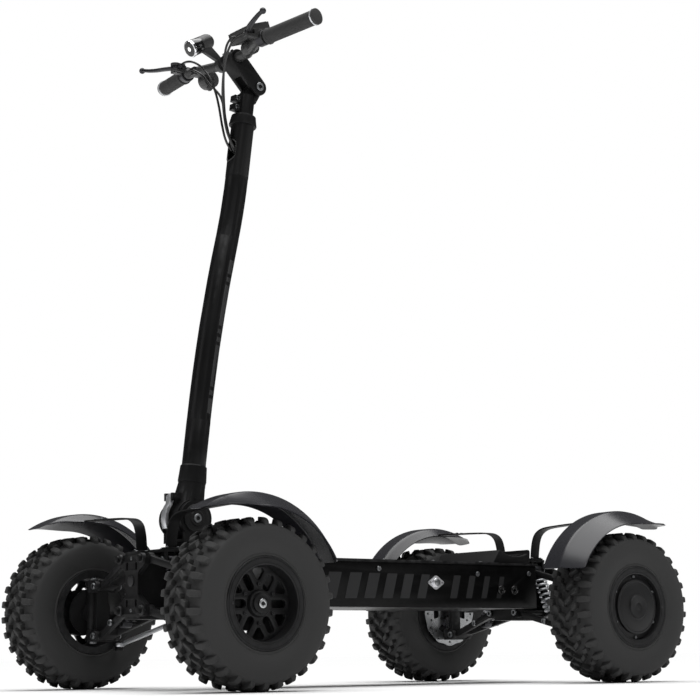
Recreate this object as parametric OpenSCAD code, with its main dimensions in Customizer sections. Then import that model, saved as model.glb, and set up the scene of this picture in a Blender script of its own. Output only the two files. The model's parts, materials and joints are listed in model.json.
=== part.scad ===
// Four-wheel stand-on electric board: low deck, folding stem with handlebar,
// double-wishbone suspension at each corner, steered front wheels and
// hub-motor rear wheels.
// Frame: +X forward, +Y left, +Z up, origin on the ground midway between the axles.

/* [Wheels] */
// Distance between front and rear axles
wheelbase = 1000; // [980:1:1010]
// Distance between the middle planes of left and right wheels
track = 656; // [650:1:660]
// Outside radius of the tyre
tyre_r = 165; // [162:1:168]
// Width of the tyre
tyre_w = 140; // [136:1:140]
// Radius of the rim's lip
lip_r = 89.4; // [88:0.1:91]

/* [Deck] */
// Half width of the deck box
deck_hw = 125; // [110:1:128]
// Bottom of the deck box
deck_z0 = 168; // [166:1:176]
// Top of the deck lid
deck_z1 = 271; // [268:1:276]
// Front end of the deck box
deck_x1 = 345; // [340:1:346]
// Rear end of the deck box
deck_x0 = -444; // [-446:1:-430]

/* [Suspension] */
// Height of the upper arm's inner pivot
arm_up_z = 266; // [264:1:268]
// Height of the lower arm's inner pivot
arm_low_z = 161; // [159:1:163]
// Distance of the inner pivots from the middle plane
arm_in_y = 43; // [42:1:44]
// Distance of the outer pivots from the middle plane
arm_out_y = 213; // [211:1:215]
// Fall of each arm from its inner to its outer pivot
arm_drop = 48; // [46:1:50]

/* [Steering] */
// Place of the upright steering axis along the board
steer_x = 436; // [435:1:437]
// Distance of each kingpin from the middle plane
kingpin_y = 270; // [269:1:272]
// Backward reach of the steering arms
steer_back = 52; // [50:1:54]
// Inward reach of the steering arms
steer_in = 28; // [26:1:30]

/* [Stem] */
// Height of the folding hinge
fold_z = 350; // [349:1:352]
// Outside radius of the stem tube
stem_r = 25.5; // [24:0.5:26]
// Half length of the handlebar, to the end of the grip
bar_half = 305; // [295:1:310]
// Radius of the handlebar tube
bar_r = 11.1; // [11:0.1:11.2]

/* [Hidden] */
CORNERS = [["fl", 1, 1], ["fr", 1, -1], ["rl", -1, 1], ["rr", -1, -1]];
FRONTS = [["fl", 1, 1], ["fr", 1, -1]];
REARS = [["rl", -1, 1], ["rr", -1, -1]];
CORNER_PARTS = ["tyre", "wheel", "lower_arm", "upper_arm", "damper_body", "damper_rod", "spring"];
$fn = 72;

pad_z = deck_z1 - 1;               // seat of the kick pad
run = 0.05;                        // radial clearance of a running fit
gap = 0.4;                         // clearance between the side faces of hinged pieces
axle_x = wheelbase / 2;
axle_y = track / 2;
axle_z = tyre_r;
wheel_in = axle_y - tyre_w / 2;    // inner face of the tyre
lip_out = axle_y + 64;             // outer face of the rim
lip_in = axle_y - 64;              // inner face of the rim
arm_dy = arm_out_y - arm_in_y;
arm_slope = atan2(arm_drop, arm_dy);
arm_len = norm([arm_dy, arm_drop]);
arm_x0 = 459;                      // rear end of an arm's inner barrel
arm_x1 = 551;                      // front end of an arm's inner barrel
out_x0 = 481;                      // rear end of an arm's outer barrel
out_x1 = 519;                      // front end of an arm's outer barrel
arm_window = 146;                  // outer end of an arm's opening, from its inner pivot
pivot_r = 5;                       // radius of the suspension pivot bolts
eye_y = 122;                       // damper's lower bolt
eye_z = 139;
top_y = 60;                        // damper's upper bolt
top_z = 262;
damper_x = 505;                    // middle plane of the damper
damper_len = norm([eye_y - top_y, top_z - eye_z]);
damper_tilt = atan2(eye_y - top_y, top_z - eye_z);
eye_slack = 1.6;                   // clearance of the open lower damper pivot
axle_r = 10;                       // wheel axle radius
ball_slack = 3;                    // clearance of the open outer steering ball
ball_x = axle_x - steer_back;
ball_y = kingpin_y - steer_in;
rod_dy = ball_y + steer_in;        // sideways reach of a tie rod
rod_dz = rod_dy * arm_drop / arm_dy;
inner_x = steer_x - steer_back;

fold_x = 435;
base_len = 77;
base_cap = 6;                      // height of the stem base's cap above the stem's first point
lean0 = 7;                         // backward lean of the stem's lower part, degrees
lean1 = 13.2;                      // lean between the two bends
lean2 = 7.5;                       // lean of the stem's upper part
bend_r1 = 3750;
bend_r2 = 1500;
stem_p0 = [418.8, 427];
stem_p1 = stem_p0 + 134 * [-sin(lean0), cos(lean0)];
stem_c1 = stem_p1 - bend_r1 * [cos(lean0), sin(lean0)];
stem_p2 = stem_c1 + bend_r1 * [cos(lean1), sin(lean1)];
stem_c2 = stem_p2 + bend_r2 * [cos(lean1), sin(lean1)];
stem_p3 = stem_c2 - bend_r2 * [cos(lean2), sin(lean2)];
stem_top = 140;                    // length of the straight upper part
stem_p4 = stem_p3 + stem_top * [-sin(lean2), cos(lean2)];
riser_x = 258;                     // riser pivot
riser_z = 1318;
clamp_x = 314;                     // middle of the handlebar
clamp_z = 1376;
grip_in = [336, 167, 1378];        // inner end of a grip, on its axis
grip_out = [305, bar_half, 1390];
grip_dir = (grip_out - grip_in) / norm(grip_out - grip_in);
bar_bend = grip_in - 30 * grip_dir;
lever_px = 372;                    // brake lever pivot
lever_py = 148;
lever_pz = 1386;
light_p = [372, -50, 1412];        // headlight pivot
light_down = 30;                   // downward aim of the headlight
// Routes of the control cables, from a control to the port in the stem, in millimetres
CABLES = [
    [[362.5, -139, 1387.2], [368, -124, 1390], [370, -100, 1388], [368, -76, 1380], [362, -54, 1364], [355, -34, 1338],
     [349, -20, 1304], [344, -12, 1268], [337, -8.4, 1221], [328, -8.4, 1191], [314, -8.4, 1171], [300, -8.4, 1163]],
    [[350.5, -119, 1374], [358, -104, 1372], [361, -84, 1364], [357, -60, 1348], [350, -38, 1322],
     [340, -12, 1290], [335, -4, 1256], [330, -2.8, 1220], [320, -2.8, 1190], [311, -2.8, 1170], [299, -2.8, 1160]],
    [[362.5, 139, 1387.2], [370, 124, 1390], [374, 100, 1386], [374, 78, 1374], [370, 56, 1352], [363, 36, 1324],
     [355, 20, 1292], [347, 11, 1256], [338, 8.4, 1213], [327, 8.4, 1187], [313, 8.4, 1169], [300, 8.4, 1161]],
    [[350, 70, 1402], [362, 66, 1398], [366, 52, 1382], [360, 34, 1352], [350, 16, 1312],
     [342, 6, 1272], [336, 2.8, 1236], [325, 2.8, 1196], [312, 2.8, 1176], [299, 2.8, 1168]]];
cable_r = 2.6;

// ---- helpers ----

// Moves a front-left piece to the corner given by its end and side signs
module corner(end, side) {
    mirror([end < 0 ? 1 : 0, 0, 0]) mirror([0, side < 0 ? 1 : 0, 0]) children();
}
// Cylinder along X from x0 to x1 at (y, z)
module rod_x(x0, x1, y, z, r) { translate([x0, y, z]) rotate([0, 90, 0]) cylinder(h = x1 - x0, r = r); }
// Cylinder along Y from y0 to y1 at (x, z)
module rod_y(y0, y1, x, z, r) { translate([x, y1, z]) rotate([90, 0, 0]) cylinder(h = y1 - y0, r = r); }
// Cylinder along Z from z0 to z1 at (x, y)
module rod_z(z0, z1, x, y, r) { translate([x, y, z0]) cylinder(h = z1 - z0, r = r); }
// Cylinder from point a to point b
module bar(a, b, r) {
    d = b - a;
    translate(a) rotate([0, acos(d[2] / norm(d)), atan2(d[1], d[0])]) cylinder(h = norm(d), r = r);
}
// Box between two corners
module block(lo, hi) { translate(lo) cube(hi - lo); }
// Flat plate in XZ, from y0 to y1, with the given outline
module plate_y(y0, y1, pts) { translate([0, y1, 0]) rotate([90, 0, 0]) linear_extrude(y1 - y0) polygon(pts); }
// Flat plate in YZ, from x0 to x1, with the given outline
module plate_x(x0, x1) {
    translate([x0, 0, 0]) rotate([90, 0, 90]) linear_extrude(x1 - x0) children();
}
// Solid of revolution about the wheel's axle; profile points are [radius, y]
module about_axle(pts) {
    translate([axle_x, 0, axle_z]) rotate([-90, 0, 0]) rotate_extrude($fn = 96) polygon(pts);
}
// Arc of points, for outlines
function arc(cx, cy, r, a0, a1, n) = [for (i = [0:n]) let (a = a0 + (a1 - a0) * i / n) [cx + r * cos(a), cy + r * sin(a)]];
// Unit direction of a route at point i
function along(p, i) =
    let (a = p[max(i - 1, 0)], b = p[min(i + 1, len(p) - 1)]) (b - a) / norm(b - a);
function ring(c, d, r, n) =
    let (u = cross(d, [1, 0.4, 0.3]), v = cross(d, u / norm(u)))
    [for (k = [0:n - 1]) c + r * (cos(360 * k / n) * u / norm(u) + sin(360 * k / n) * v)];
// Tube swept along a route as one closed polyhedron
module tube(p, r, n) {
    m = len(p);
    pts = [for (i = [0:m - 1]) each ring(p[i], along(p, i), r, n)];
    sides = [for (i = [0:m - 2]) for (k = [0:n - 1])
        [i * n + k, (i + 1) * n + k, (i + 1) * n + (k + 1) % n, i * n + (k + 1) % n]];
    polyhedron(pts, concat([[for (k = [0:n - 1]) k]], [[for (k = [n - 1:-1:0]) (m - 1) * n + k]],
        sides), convexity = 4);
}

// ---- deck ----

module deck_tray() {
    color("#151515") difference() {
        union() {
            difference() {
                block([deck_x0, -deck_hw, deck_z0], [deck_x1, deck_hw, deck_z1 - 6]);
                block([deck_x0 + 4, -deck_hw + 4, deck_z0 + 4], [deck_x1 - 4, deck_hw - 4, deck_z1]);
            }
            for (x = [-200, 80]) block([x, -deck_hw + 4, deck_z0 + 4], [x + 4, deck_hw - 4, deck_z1 - 40]);
        }
        // Seat of the charge port and the two hose holes
        rod_y(deck_hw - 6, deck_hw + 2, -140, 223, 13);
        for (x = [-333, -373]) rod_y(deck_hw - 6, deck_hw + 2, x, 209, 8);
        for (x = [-333, -373]) rod_y(-deck_hw - 2, -deck_hw + 6, x, 209, 8);
    }
}
module deck_lid() {
    color("#1b1b1b") difference() {
        block([deck_x0 - 3, -deck_hw - 5, deck_z1 - 6], [deck_x1 + 3, deck_hw + 5, deck_z1]);
        for (x = [-420:140:280]) for (s = [-1, 1]) rod_z(deck_z1 - 7, deck_z1 + 1, x, s * (deck_hw - 6), 2.5);
        // Step that seats the kick pad
        block([deck_x0 - 5, -deck_hw - 6, pad_z], [-326, deck_hw + 6, deck_z1 + 1]);
    }
}
module kick_pad() {
    color("#111111") plate_y(-104, 104,
        concat([[-330, pad_z], [-446, pad_z], [-448, 300], [-445, 304], [-438, 304]],
            arc(-404, 384, 96, 248, 302, 8)));
}
module power_pack() {
    // Battery brick and two motor controllers
    color("#2c4a7a") block([-190, -108, deck_z0 + 6], [70, 108, deck_z0 + 74]);
    color("#8a8d90") for (s = [-1, 1])
        difference() {
            block([110, s < 0 ? -108 : 12, deck_z0 + 6], [260, s < 0 ? -12 : 108, deck_z0 + 54]);
            for (k = [0:8]) block([118 + k * 15, -110, deck_z0 + 44], [125 + k * 15, 110, deck_z0 + 60]);
        }
}
module deck_fittings() {
    // Charge port: diamond flange, body and screw cap
    color("#d5d7d8") difference() {
        plate_y(deck_hw, deck_hw + 3, [[-165, 223], [-140, 206], [-115, 223], [-140, 240]]);
        rod_y(deck_hw - 1, deck_hw + 4, -140, 223, 10);
    }
    color("#b9bcbe") rod_y(deck_hw - 16, deck_hw + 9, -140, 223, 9.9);
    // Round-headed side screws and lid screws
    color("#9a9a9a") for (p = [[-264, 244], [-421, 247], [300, 244]]) for (s = [-1, 1])
        mirror([0, s < 0 ? 1 : 0, 0]) rod_y(deck_hw, deck_hw + 3, p[0], p[1], 5);
    // Hose grommets
    color("#202020") for (x = [-333, -373]) for (s = [-1, 1]) mirror([0, s < 0 ? 1 : 0, 0])
        difference() {
            union() {
                rod_y(deck_hw - 6, deck_hw, x, 209, 8);
                rod_y(deck_hw, deck_hw + 6, x, 209, 10);
            }
            rod_y(deck_hw - 8, deck_hw + 8, x, 209, 3.5);
        }
}

// ---- chassis ends ----

// Outline of the waisted end plate
module end_plate_outline() {
    translate([-52, arm_up_z - 12]) square([104, 20]);
    translate([-52, arm_low_z - 12]) square([104, 24]);
    translate([-20, arm_low_z]) square([40, arm_up_z - arm_low_z]);
    for (s = [-1, 1]) {
        polygon([[s * 52, arm_up_z - 12], [s * 20, arm_up_z - 34], [0, arm_up_z - 34], [0, arm_up_z - 12]]);
        polygon([[s * 52, arm_low_z + 12], [s * 20, arm_low_z + 34], [0, arm_low_z + 34], [0, arm_low_z + 12]]);
    }
}
module bulkhead(post) {
    back_x = arm_x0 - gap;
    front_x = arm_x1 + gap;
    deck_end = post ? deck_x1 : -deck_x0;
    difference() {
        union() {
            color("#1d1d1d") plate_x(front_x, front_x + 9) end_plate_outline();
            color("#1d1d1d") plate_x(back_x - 8, back_x) end_plate_outline();
            // Top and bottom plates between the end plates, and the damper posts
            color("#222222") block([back_x - 8, -30, arm_up_z + 8], [front_x + 9, 30, arm_up_z + 14]);
            color("#222222") block([back_x - 8, -30, arm_low_z - 18], [front_x + 9, 30, arm_low_z - 12]);
            color("#222222") block([back_x - 1, -12, arm_low_z - 13], [front_x + 1, 12, arm_up_z + 9]);
            color("#222222") block([damper_x - 24, -66, arm_up_z + 12], [damper_x + 24, 66, arm_up_z + 18]);
            for (s = [-1, 1]) for (t = [-1, 1])
                color("#222222") block([damper_x + t * 17 - 3, s * top_y - 8, top_z - 8],
                    [damper_x + t * 17 + 3, s * top_y + 8, arm_up_z + 14]);
            // Rails to the deck, their end wall and, in front, the steering bush and its cover
            color("#1d1d1d") {
                for (s = [-1, 1]) block([deck_end, s * 60 - 3, 180], [back_x - 4, s * 60 + 3, arm_up_z - 14]);
                block([back_x - 10, -63, 180], [back_x - 2, 63, arm_up_z - 14]);
            }
            if (post) color("#1d1d1d") {
                block([steer_x - 22, -24, 196], [back_x - 4, 24, 250]);
                block([deck_end + 3, -63, arm_up_z - 2], [back_x - 2, 63, arm_up_z + 4]);
                for (s = [-1, 1])
                    block([deck_end, s * 60 - 3, arm_up_z - 16], [back_x - 2, s * 60 + 3, arm_up_z - 1]);
            }
        }
        // Four mounting holes in the front plate
        for (y = [-18, 18]) for (z = [arm_low_z + 13.5, arm_up_z - 14])
            rod_x(front_x - 1, front_x + 10, y, z, 3);
        if (post) rod_z(150, 300, steer_x, 0, 12 + run);
        if (post) rod_z(arm_up_z + 4, 320, steer_x, 0, 20.6);
    }
    // Pivot bolts, with the bush and head in front of the plate, and the damper bolts
    color("#c9cbcc") for (s = [-1, 1]) {
        for (z = [arm_low_z, arm_up_z]) {
            rod_x(back_x - 11, front_x + 19, s * arm_in_y, z, pivot_r);
            rod_x(front_x + 9, front_x + 17, s * arm_in_y, z, 9);
            rod_x(front_x + 17, front_x + 24, s * arm_in_y, z, 7);
        }
        rod_x(damper_x - 21, damper_x + 21, s * top_y, top_z, 4);
    }
}
module front_bulkhead() { bulkhead(true); }
module rear_bulkhead() { mirror([1, 0, 0]) bulkhead(false); }

// ---- fenders ----

fender_r = 208;
fender_t = 3.5;
// Arched cover with a crown and two side skirts, from its front tip to its low rear edge
module fender() {
    r = fender_r;
    t = fender_r + fender_t;
    translate([axle_x, 0, axle_z]) rotate([90, 0, 0]) mirror([0, 0, 1]) rotate([0, 0, 58])
        rotate_extrude(angle = 99, $fn = 120) polygon([[195, 278], [t, 297], [t, 350], [184, 397],
            [181, 395], [r, 349], [r, 298.2], [192.3, 280.2]]);
}
module fender_bracket() {
    // Angled strap from the chassis top plate up and out to the fender's inner edge
    block([damper_x - 22, 50, arm_up_z + 18], [damper_x + 22, 66, arm_up_z + 22]);
    plate_x(damper_x - 20, damper_x + 20)
        polygon([[56, arm_up_z + 18], [60, arm_up_z + 18], [60, 348], [66, 354], [284, 360], [284, 364],
            [64, 358], [56, 350]]);
}
module fender_pair(end) {
    for (s = [-1, 1]) {
        color("#1a1a1a") corner(end, s) fender();
        color("#242424") corner(end, s) fender_bracket();
    }
}
module front_fenders() { fender_pair(1); }
module rear_fenders() { fender_pair(-1); }

// ---- wheels ----

module tyre() {
    bead = 82;
    o = wheel_in;
    w = tyre_w;
    color("#101010") about_axle([
        [bead, lip_in + 8], [lip_r + 2, lip_in + 2], [108, o + 5], [128, o], [146, o + 3], [156, o + 8],
        [162, o + 16], [tyre_r, o + 28], [tyre_r, o + w - 28], [162, o + w - 16], [156, o + w - 8],
        [146, o + w - 3], [128, o + w],
        [108, o + w - 5], [lip_r + 2, lip_out - 2], [bead, lip_out - 8],
        [bead, lip_out - 18], [100, lip_out - 14], [124, o + w - 10], [140, o + w - 18],
        [149, o + w - 40], [149, o + 40], [140, o + 18], [124, o + 10], [100, lip_in + 14], [bead, lip_in + 18]]);
}
module rim_barrel() {
    about_axle([[lip_r, lip_in], [lip_r, lip_in + 3], [82, lip_in + 6], [82, lip_out - 6], [lip_r, lip_out - 3],
        [lip_r, lip_out], [74, lip_out], [74, lip_in]]);
}
module wheel_front() {
    color("#191919") difference() {
        union() {
            rim_barrel();
            about_axle([[0, lip_out - 42], [76, lip_out - 42], [76, lip_out - 32], [44, lip_out - 28], [0, lip_out - 28]]);
            about_axle([[0, axle_y - 10], [24, axle_y - 10], [24, lip_out - 24], [0, lip_out - 24]]);
            about_axle([[0, axle_y - 36], [57, axle_y - 36], [57, axle_y - 10], [24, axle_y - 6], [0, axle_y - 6]]);
        }
        // Six long windows between six short ones
        for (k = [0:5]) {
            at_spoke(60 * k) translate([47, -8]) square([22, 16]);
            at_spoke(60 * k + 30) translate([50, -7]) square([17, 14]);
        }
        rod_y(axle_y - 40, lip_out, axle_x, axle_z, axle_r + run);
        about_axle([[14, axle_y - 38], [52, axle_y - 38], [52, axle_y - 16], [14, axle_y - 16]]);
    }
    color("#c0c2c4") for (k = [0:5]) translate([axle_x, lip_out - 28, axle_z]) rotate([0, 60 * k, 0])
        rod_y(0, 4, 32, 0, 3.4);
}
// A window through the wheel's web at an angle
module at_spoke(a) {
    translate([axle_x, 0, axle_z]) rotate([0, a, 0]) translate([0, lip_out - 20, 0]) rotate([90, 0, 0])
        linear_extrude(30) children();
}
module wheel_rear() {
    color("#171717") rim_barrel();
    color("#171717") about_axle([[lip_r, lip_out], [lip_r - 4, lip_out + 0.8], [lip_r - 7, lip_out]]);
    // Hub motor filling the rim, its cover disc and its boss
    color("#161616") about_axle([[axle_r + run, axle_y - 52], [70, axle_y - 52], [74, axle_y - 46], [74, lip_out - 12],
        [59, lip_out - 10], [59, lip_out - 3], [54, lip_out - 1], [26, lip_out - 1], [26, lip_out + 3],
        [axle_r + run, lip_out + 3]]);
    // Brake disc and its spacer
    color("#b4b6b8") difference() {
        about_axle([[14, wheel_in - 6], [79, wheel_in - 6], [79, wheel_in - 3], [14, wheel_in - 3]]);
        for (k = [0:17]) translate([axle_x, 0, axle_z]) rotate([0, 20 * k, 0])
            rod_y(wheel_in - 8, wheel_in, 68, 0, 3.6);
    }
    color("#161616") about_axle([[14, wheel_in - 3], [30, wheel_in - 3], [30, axle_y - 52], [14, axle_y - 52]]);
}

// ---- suspension ----

// Wishbone lying between its barrels, before it is tilted; u runs outward from the inner pivot
module arm(z) {
    translate([0, arm_in_y, z]) rotate([-arm_slope, 0, 0]) difference() {
        union() {
            rod_x(arm_x0, arm_x1, 0, 0, 11);
            rod_x(out_x0, out_x1, arm_len, 0, 9);
            translate([0, 0, -7]) linear_extrude(14)
                polygon([[arm_x0, 0], [arm_x0, 20], [out_x0, arm_len - 24], [out_x0, arm_len],
                    [out_x1, arm_len], [out_x1, arm_len - 24], [arm_x1, 20], [arm_x1, 0]]);
        }
        rod_x(arm_x0 - 1, arm_x1 + 1, 0, 0, pivot_r + run);
        rod_x(out_x0 - 1, out_x1 + 1, arm_len, 0, pivot_r + run);
        // Opening for the damper
        translate([0, 0, -20]) linear_extrude(40)
            polygon([[arm_x0 + 12, -20], [arm_x0 + 12, 30], [out_x0 + 8, arm_window], [out_x1 - 8, arm_window],
                [arm_x1 - 12, 30], [arm_x1 - 12, -20]]);
    }
}
module upper_arm() { color("#1c1c1c") arm(arm_up_z); }
module lower_arm() {
    color("#1c1c1c") arm(arm_low_z);
    // Bolt for the damper's lower eye
    color("#c9cbcc") rod_x(damper_x - 36, damper_x + 40, eye_y, eye_z, 4);
}
out_zs = [arm_low_z - arm_drop, arm_up_z - arm_drop];
// Post between the arms' outer ends, with a crossbar and two lugs at each arm
module hub_post() {
    block([486, arm_out_y + 14, 101], [514, arm_out_y + 26, 232]);
    for (z = out_zs) {
        block([470, arm_out_y + 14, z - 12], [530, arm_out_y + 26, z + 14]);
        for (x = [[470, out_x0 - gap], [out_x1 + gap, 530]]) {
            rod_x(x[0], x[1], arm_out_y, z, 11);
            block([x[0], arm_out_y, z - 9], [x[1], arm_out_y + 26, z + 9]);
        }
    }
}
module carrier() {
    color("#202020") {
        hub_post();
        // Ears above and below the knuckle
        for (z = [101, 220]) {
            block([484, arm_out_y + 14, z], [516, kingpin_y, z + 12]);
            rod_z(z, z + 12, axle_x, kingpin_y, 16);
        }
    }
    color("#c9cbcc") {
        for (z = out_zs) rod_x(466, 534, arm_out_y, z, pivot_r);
        rod_z(96, 130, axle_x, kingpin_y, 6);
        rod_z(203, 238, axle_x, kingpin_y, 6);
    }
}
// Steering knuckle; the ball is above the arm's tip on the right and below it on the left
module knuckle(up) {
    color("#1e1e1e") difference() {
        union() {
            rod_z(113.4, 219.6, axle_x, kingpin_y, 14);
            about_axle([[0, kingpin_y], [22, kingpin_y], [22, kingpin_y + 16], [axle_r + 4, kingpin_y + 17], [0, kingpin_y + 17]]);
            // Brake backing plate
            about_axle([[0, kingpin_y + 12], [50, kingpin_y + 12], [50, kingpin_y + 15], [0, kingpin_y + 15]]);
            // Steering arm: out through the rim's open side, down, and in to the ball
            block([ball_x, kingpin_y + 6, 119], [486, kingpin_y + 15, 127]);
            block([ball_x - 4, ball_y + 10.5, 119], [ball_x + 4, kingpin_y + 15, 127]);
            block([ball_x - 6, ball_y + 10.5, tip_z(up)], [ball_x + 4, ball_y + 14.5, 127]);
            block([ball_x - 6, ball_y, tip_z(up)], [ball_x + 4, ball_y + 12, tip_z(up) + 6]);
            rod_z(tip_z(up), tip_z(up) + 6, ball_x, ball_y, 8);
        }
        rod_z(90, 240, axle_x, kingpin_y, 6 + run);
    }
    color("#c9cbcc") {
        rod_y(kingpin_y + 16, lip_out - 12, axle_x, axle_z, axle_r);
        rod_y(lip_out - 23.6, lip_out - 14, axle_x, axle_z, 19);
        rod_z(up ? tip_z(up) + 5 : ball_z(up) - 7, up ? ball_z(up) + 6 : tip_z(up) + 1, ball_x, ball_y, 3.5);
    }
}
module upright() {
    color("#202020") {
        hub_post();
        // Brake caliper on its bracket, around the disc's front edge
        block([512, arm_out_y + 14, 170], [590, arm_out_y + 20, 196]);
        difference() {
            block([552, arm_out_y + 20, 168], [592, arm_out_y + 56, 206]);
            translate([axle_x, 0, axle_z]) rotate([-90, 0, 0])
                translate([0, 0, wheel_in - 8]) cylinder(h = 7, r = 81);
            block([540, wheel_in - 2, 160], [600, wheel_in + 30, 210]);
        }
    }
    color("#c9cbcc") {
        for (z = out_zs) rod_x(466, 534, arm_out_y, z, pivot_r);
        rod_y(arm_out_y + 25, lip_out + 2, axle_x, axle_z, axle_r);
    }
}
// Places a piece drawn along -Z from the damper's upper bolt
module on_damper() {
    translate([damper_x, top_y, top_z]) rotate([damper_tilt, 0, 0]) children();
}
module damper_body() {
    color("#2a2a2a") on_damper() difference() {
        union() {
            rod_x(-11, 11, 0, 0, 9);
            rod_z(-20, 0, 0, 0, 7);
            rod_z(-24, -18, 0, 0, 17);
            difference() {
                rod_z(-78, -20, 0, 0, 9);
                rod_z(-79, -24, 0, 0, 5 + run);
            }
        }
        rod_x(-12, 12, 0, 0, 4 + run);
    }
}
module damper_rod() {
    color("#c9cbcc") on_damper() rod_z(-damper_len + 8, -48, 0, 0, 5);
    color("#2a2a2a") on_damper() difference() {
        union() {
            rod_x(-11, 11, 0, -damper_len, 11);
            rod_z(-damper_len, -damper_len + 18, 0, 0, 9);
            rod_z(-damper_len + 16, -damper_len + 22, 0, 0, 17);
        }
        rod_x(-12, 12, 0, -damper_len, 4 + eye_slack);
    }
}
spring_turns = 6;
spring_top = -24.5;
spring_low = -damper_len + 22.5;
spring_wire = 2.4;
spring_coil_r = 13.6;
module spring() {
    n = 7;
    steps = spring_turns * 12;
    z1 = spring_top - spring_wire;
    z0 = spring_low + spring_wire;
    route = [for (i = [0:steps]) [spring_coil_r * cos(30 * i), spring_coil_r * sin(30 * i), z0 + (z1 - z0) * i / steps]];
    color("#c4c6c8") on_damper() coil(route, spring_wire, n);
}
// Closed helix; each ring lies in the plane through the axis
module coil(p, r, n) {
    m = len(p);
    pts = [for (i = [0:m - 1]) for (k = [0:n - 1])
        let (o = [p[i][0], p[i][1], 0] / norm([p[i][0], p[i][1], 0]), a = 360 * k / n)
        p[i] + r * (cos(a) * o + sin(a) * [0, 0, 1])];
    sides = [for (i = [0:m - 2]) for (k = [0:n - 1])
        [i * n + k, (i + 1) * n + k, (i + 1) * n + (k + 1) % n, i * n + (k + 1) % n]];
    polyhedron(pts, concat([[for (k = [0:n - 1]) k]], [[for (k = [n - 1:-1:0]) (m - 1) * n + k]],
        sides), convexity = 10);
}

// ---- steering linkage ----

ball_z_up = 94;                    // height of the right outer ball
ball_z_down = 52;                  // height of the left outer ball
function ball_z(up) = up ? ball_z_up : ball_z_down;
// Lower face of a steering arm's tip, which is under the right ball and over the left one
function tip_z(up) = up ? ball_z_up - 12 : ball_z_down + 6;
function inner_z(up) = ball_z(up) + rod_dz;
pitman_z0 = inner_z(false) + 7.5;  // lower face of the plate under the steering post
pitman_z1 = pitman_z0 + 5;
pitman_top = inner_z(true) - 9;    // top of the plate's tall boss
// Drawn on the left side; the inner pivot lies across the middle plane
module rod_end(up) {
    z = inner_z(up);
    color("#2a2a2a") translate([inner_x, -steer_in, 0]) {
        rod_z(z - 4.6, z + 4.6, 0, 0, 7);
        rod_z(up ? pitman_z0 - 3 : z, up ? z : pitman_z1 + 1, 0, 0, 4);
        rod_x(-9, 9, 0, z, 3);
    }
}
module tie_rod(up) {
    z = inner_z(up);
    color("#c9cbcc") bar([inner_x + 10, -steer_in + 42, z - 42 * rod_dz / rod_dy],
        [ball_x - 4, ball_y - 17, ball_z(up) + 17 * rod_dz / rod_dy], 5);
    color("#2a2a2a") {
        // Fork around the rod end, and its web
        for (x = [[-14, -7.4], [7.4, 14]]) difference() {
            union() {
                rod_x(inner_x + x[0], inner_x + x[1], -steer_in, z, 6);
                bar([inner_x + (x[0] + x[1]) / 2, -steer_in + 4, z - 4 * rod_dz / rod_dy],
                    [inner_x + (x[0] + x[1]) / 2, -steer_in + 34, z - 34 * rod_dz / rod_dy], 3.2);
            }
            rod_x(inner_x - 16, inner_x + 16, -steer_in, z, 3 + run);
        }
        bar([inner_x - 12, -steer_in + 33, z - 33 * rod_dz / rod_dy],
            [inner_x + 14, -steer_in + 33, z - 33 * rod_dz / rod_dy], 4);
        bar([inner_x + 8, -steer_in + 32, z - 32 * rod_dz / rod_dy],
            [inner_x + 12, -steer_in + 48, z - 48 * rod_dz / rod_dy], 6);
        // Outer eye around the knuckle's stud
        difference() {
            union() {
                rod_z(ball_z(up) - 4, ball_z(up) + 4, ball_x, ball_y, 9.2);
                bar([ball_x - 2, ball_y - 9, ball_z(up)], [ball_x - 6, ball_y - 28, ball_z(up) + 28 * rod_dz / rod_dy], 4);
            }
            rod_z(ball_z(up) - 12, ball_z(up) + 12, ball_x, ball_y, 3.5 + ball_slack);
        }
    }
}
module steering_post() {
    color("#262626") {
        rod_z(pitman_z0, 306, steer_x, 0, 12);
        rod_z(arm_up_z + 5, 306, steer_x, 0, 20);
        // Cup and cheeks of the folding hinge
        rod_z(300, 307, fold_x, 0, 43);
        for (s = [-1, 1]) {
            rod_y(s < 0 ? -43 : 31.4, s < 0 ? -31.4 : 43, fold_x, fold_z, 38);
            block([fold_x - 26, s < 0 ? -43 : 31.4, 301], [fold_x + 26, s < 0 ? -31.4 : 43, fold_z]);
        }
    }
    color("#c9cbcc") rod_y(-46, 46, fold_x, fold_z, 10);
    // Steering arm plate with the two rod-end bores
    color("#262626") difference() {
        union() {
            rod_z(pitman_z0, pitman_z1, steer_x, 0, 13.5);
            translate([0, 0, pitman_z0]) linear_extrude(pitman_z1 - pitman_z0)
                polygon([[steer_x + 4, -10], [inner_x, -steer_in - 9], [inner_x - 8, -steer_in], [inner_x - 8, steer_in],
                    [inner_x, steer_in + 9], [steer_x + 4, 10]]);
            rod_z(pitman_z0, pitman_z1, inner_x, -steer_in, 8.6);
            rod_z(pitman_z0, pitman_top, inner_x, steer_in, 8.6);
        }
        for (s = [-1, 1]) rod_z(pitman_z0 - 1, pitman_top + 1, inner_x, s * steer_in, 4 + run);
    }
}

// ---- stem ----

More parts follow.
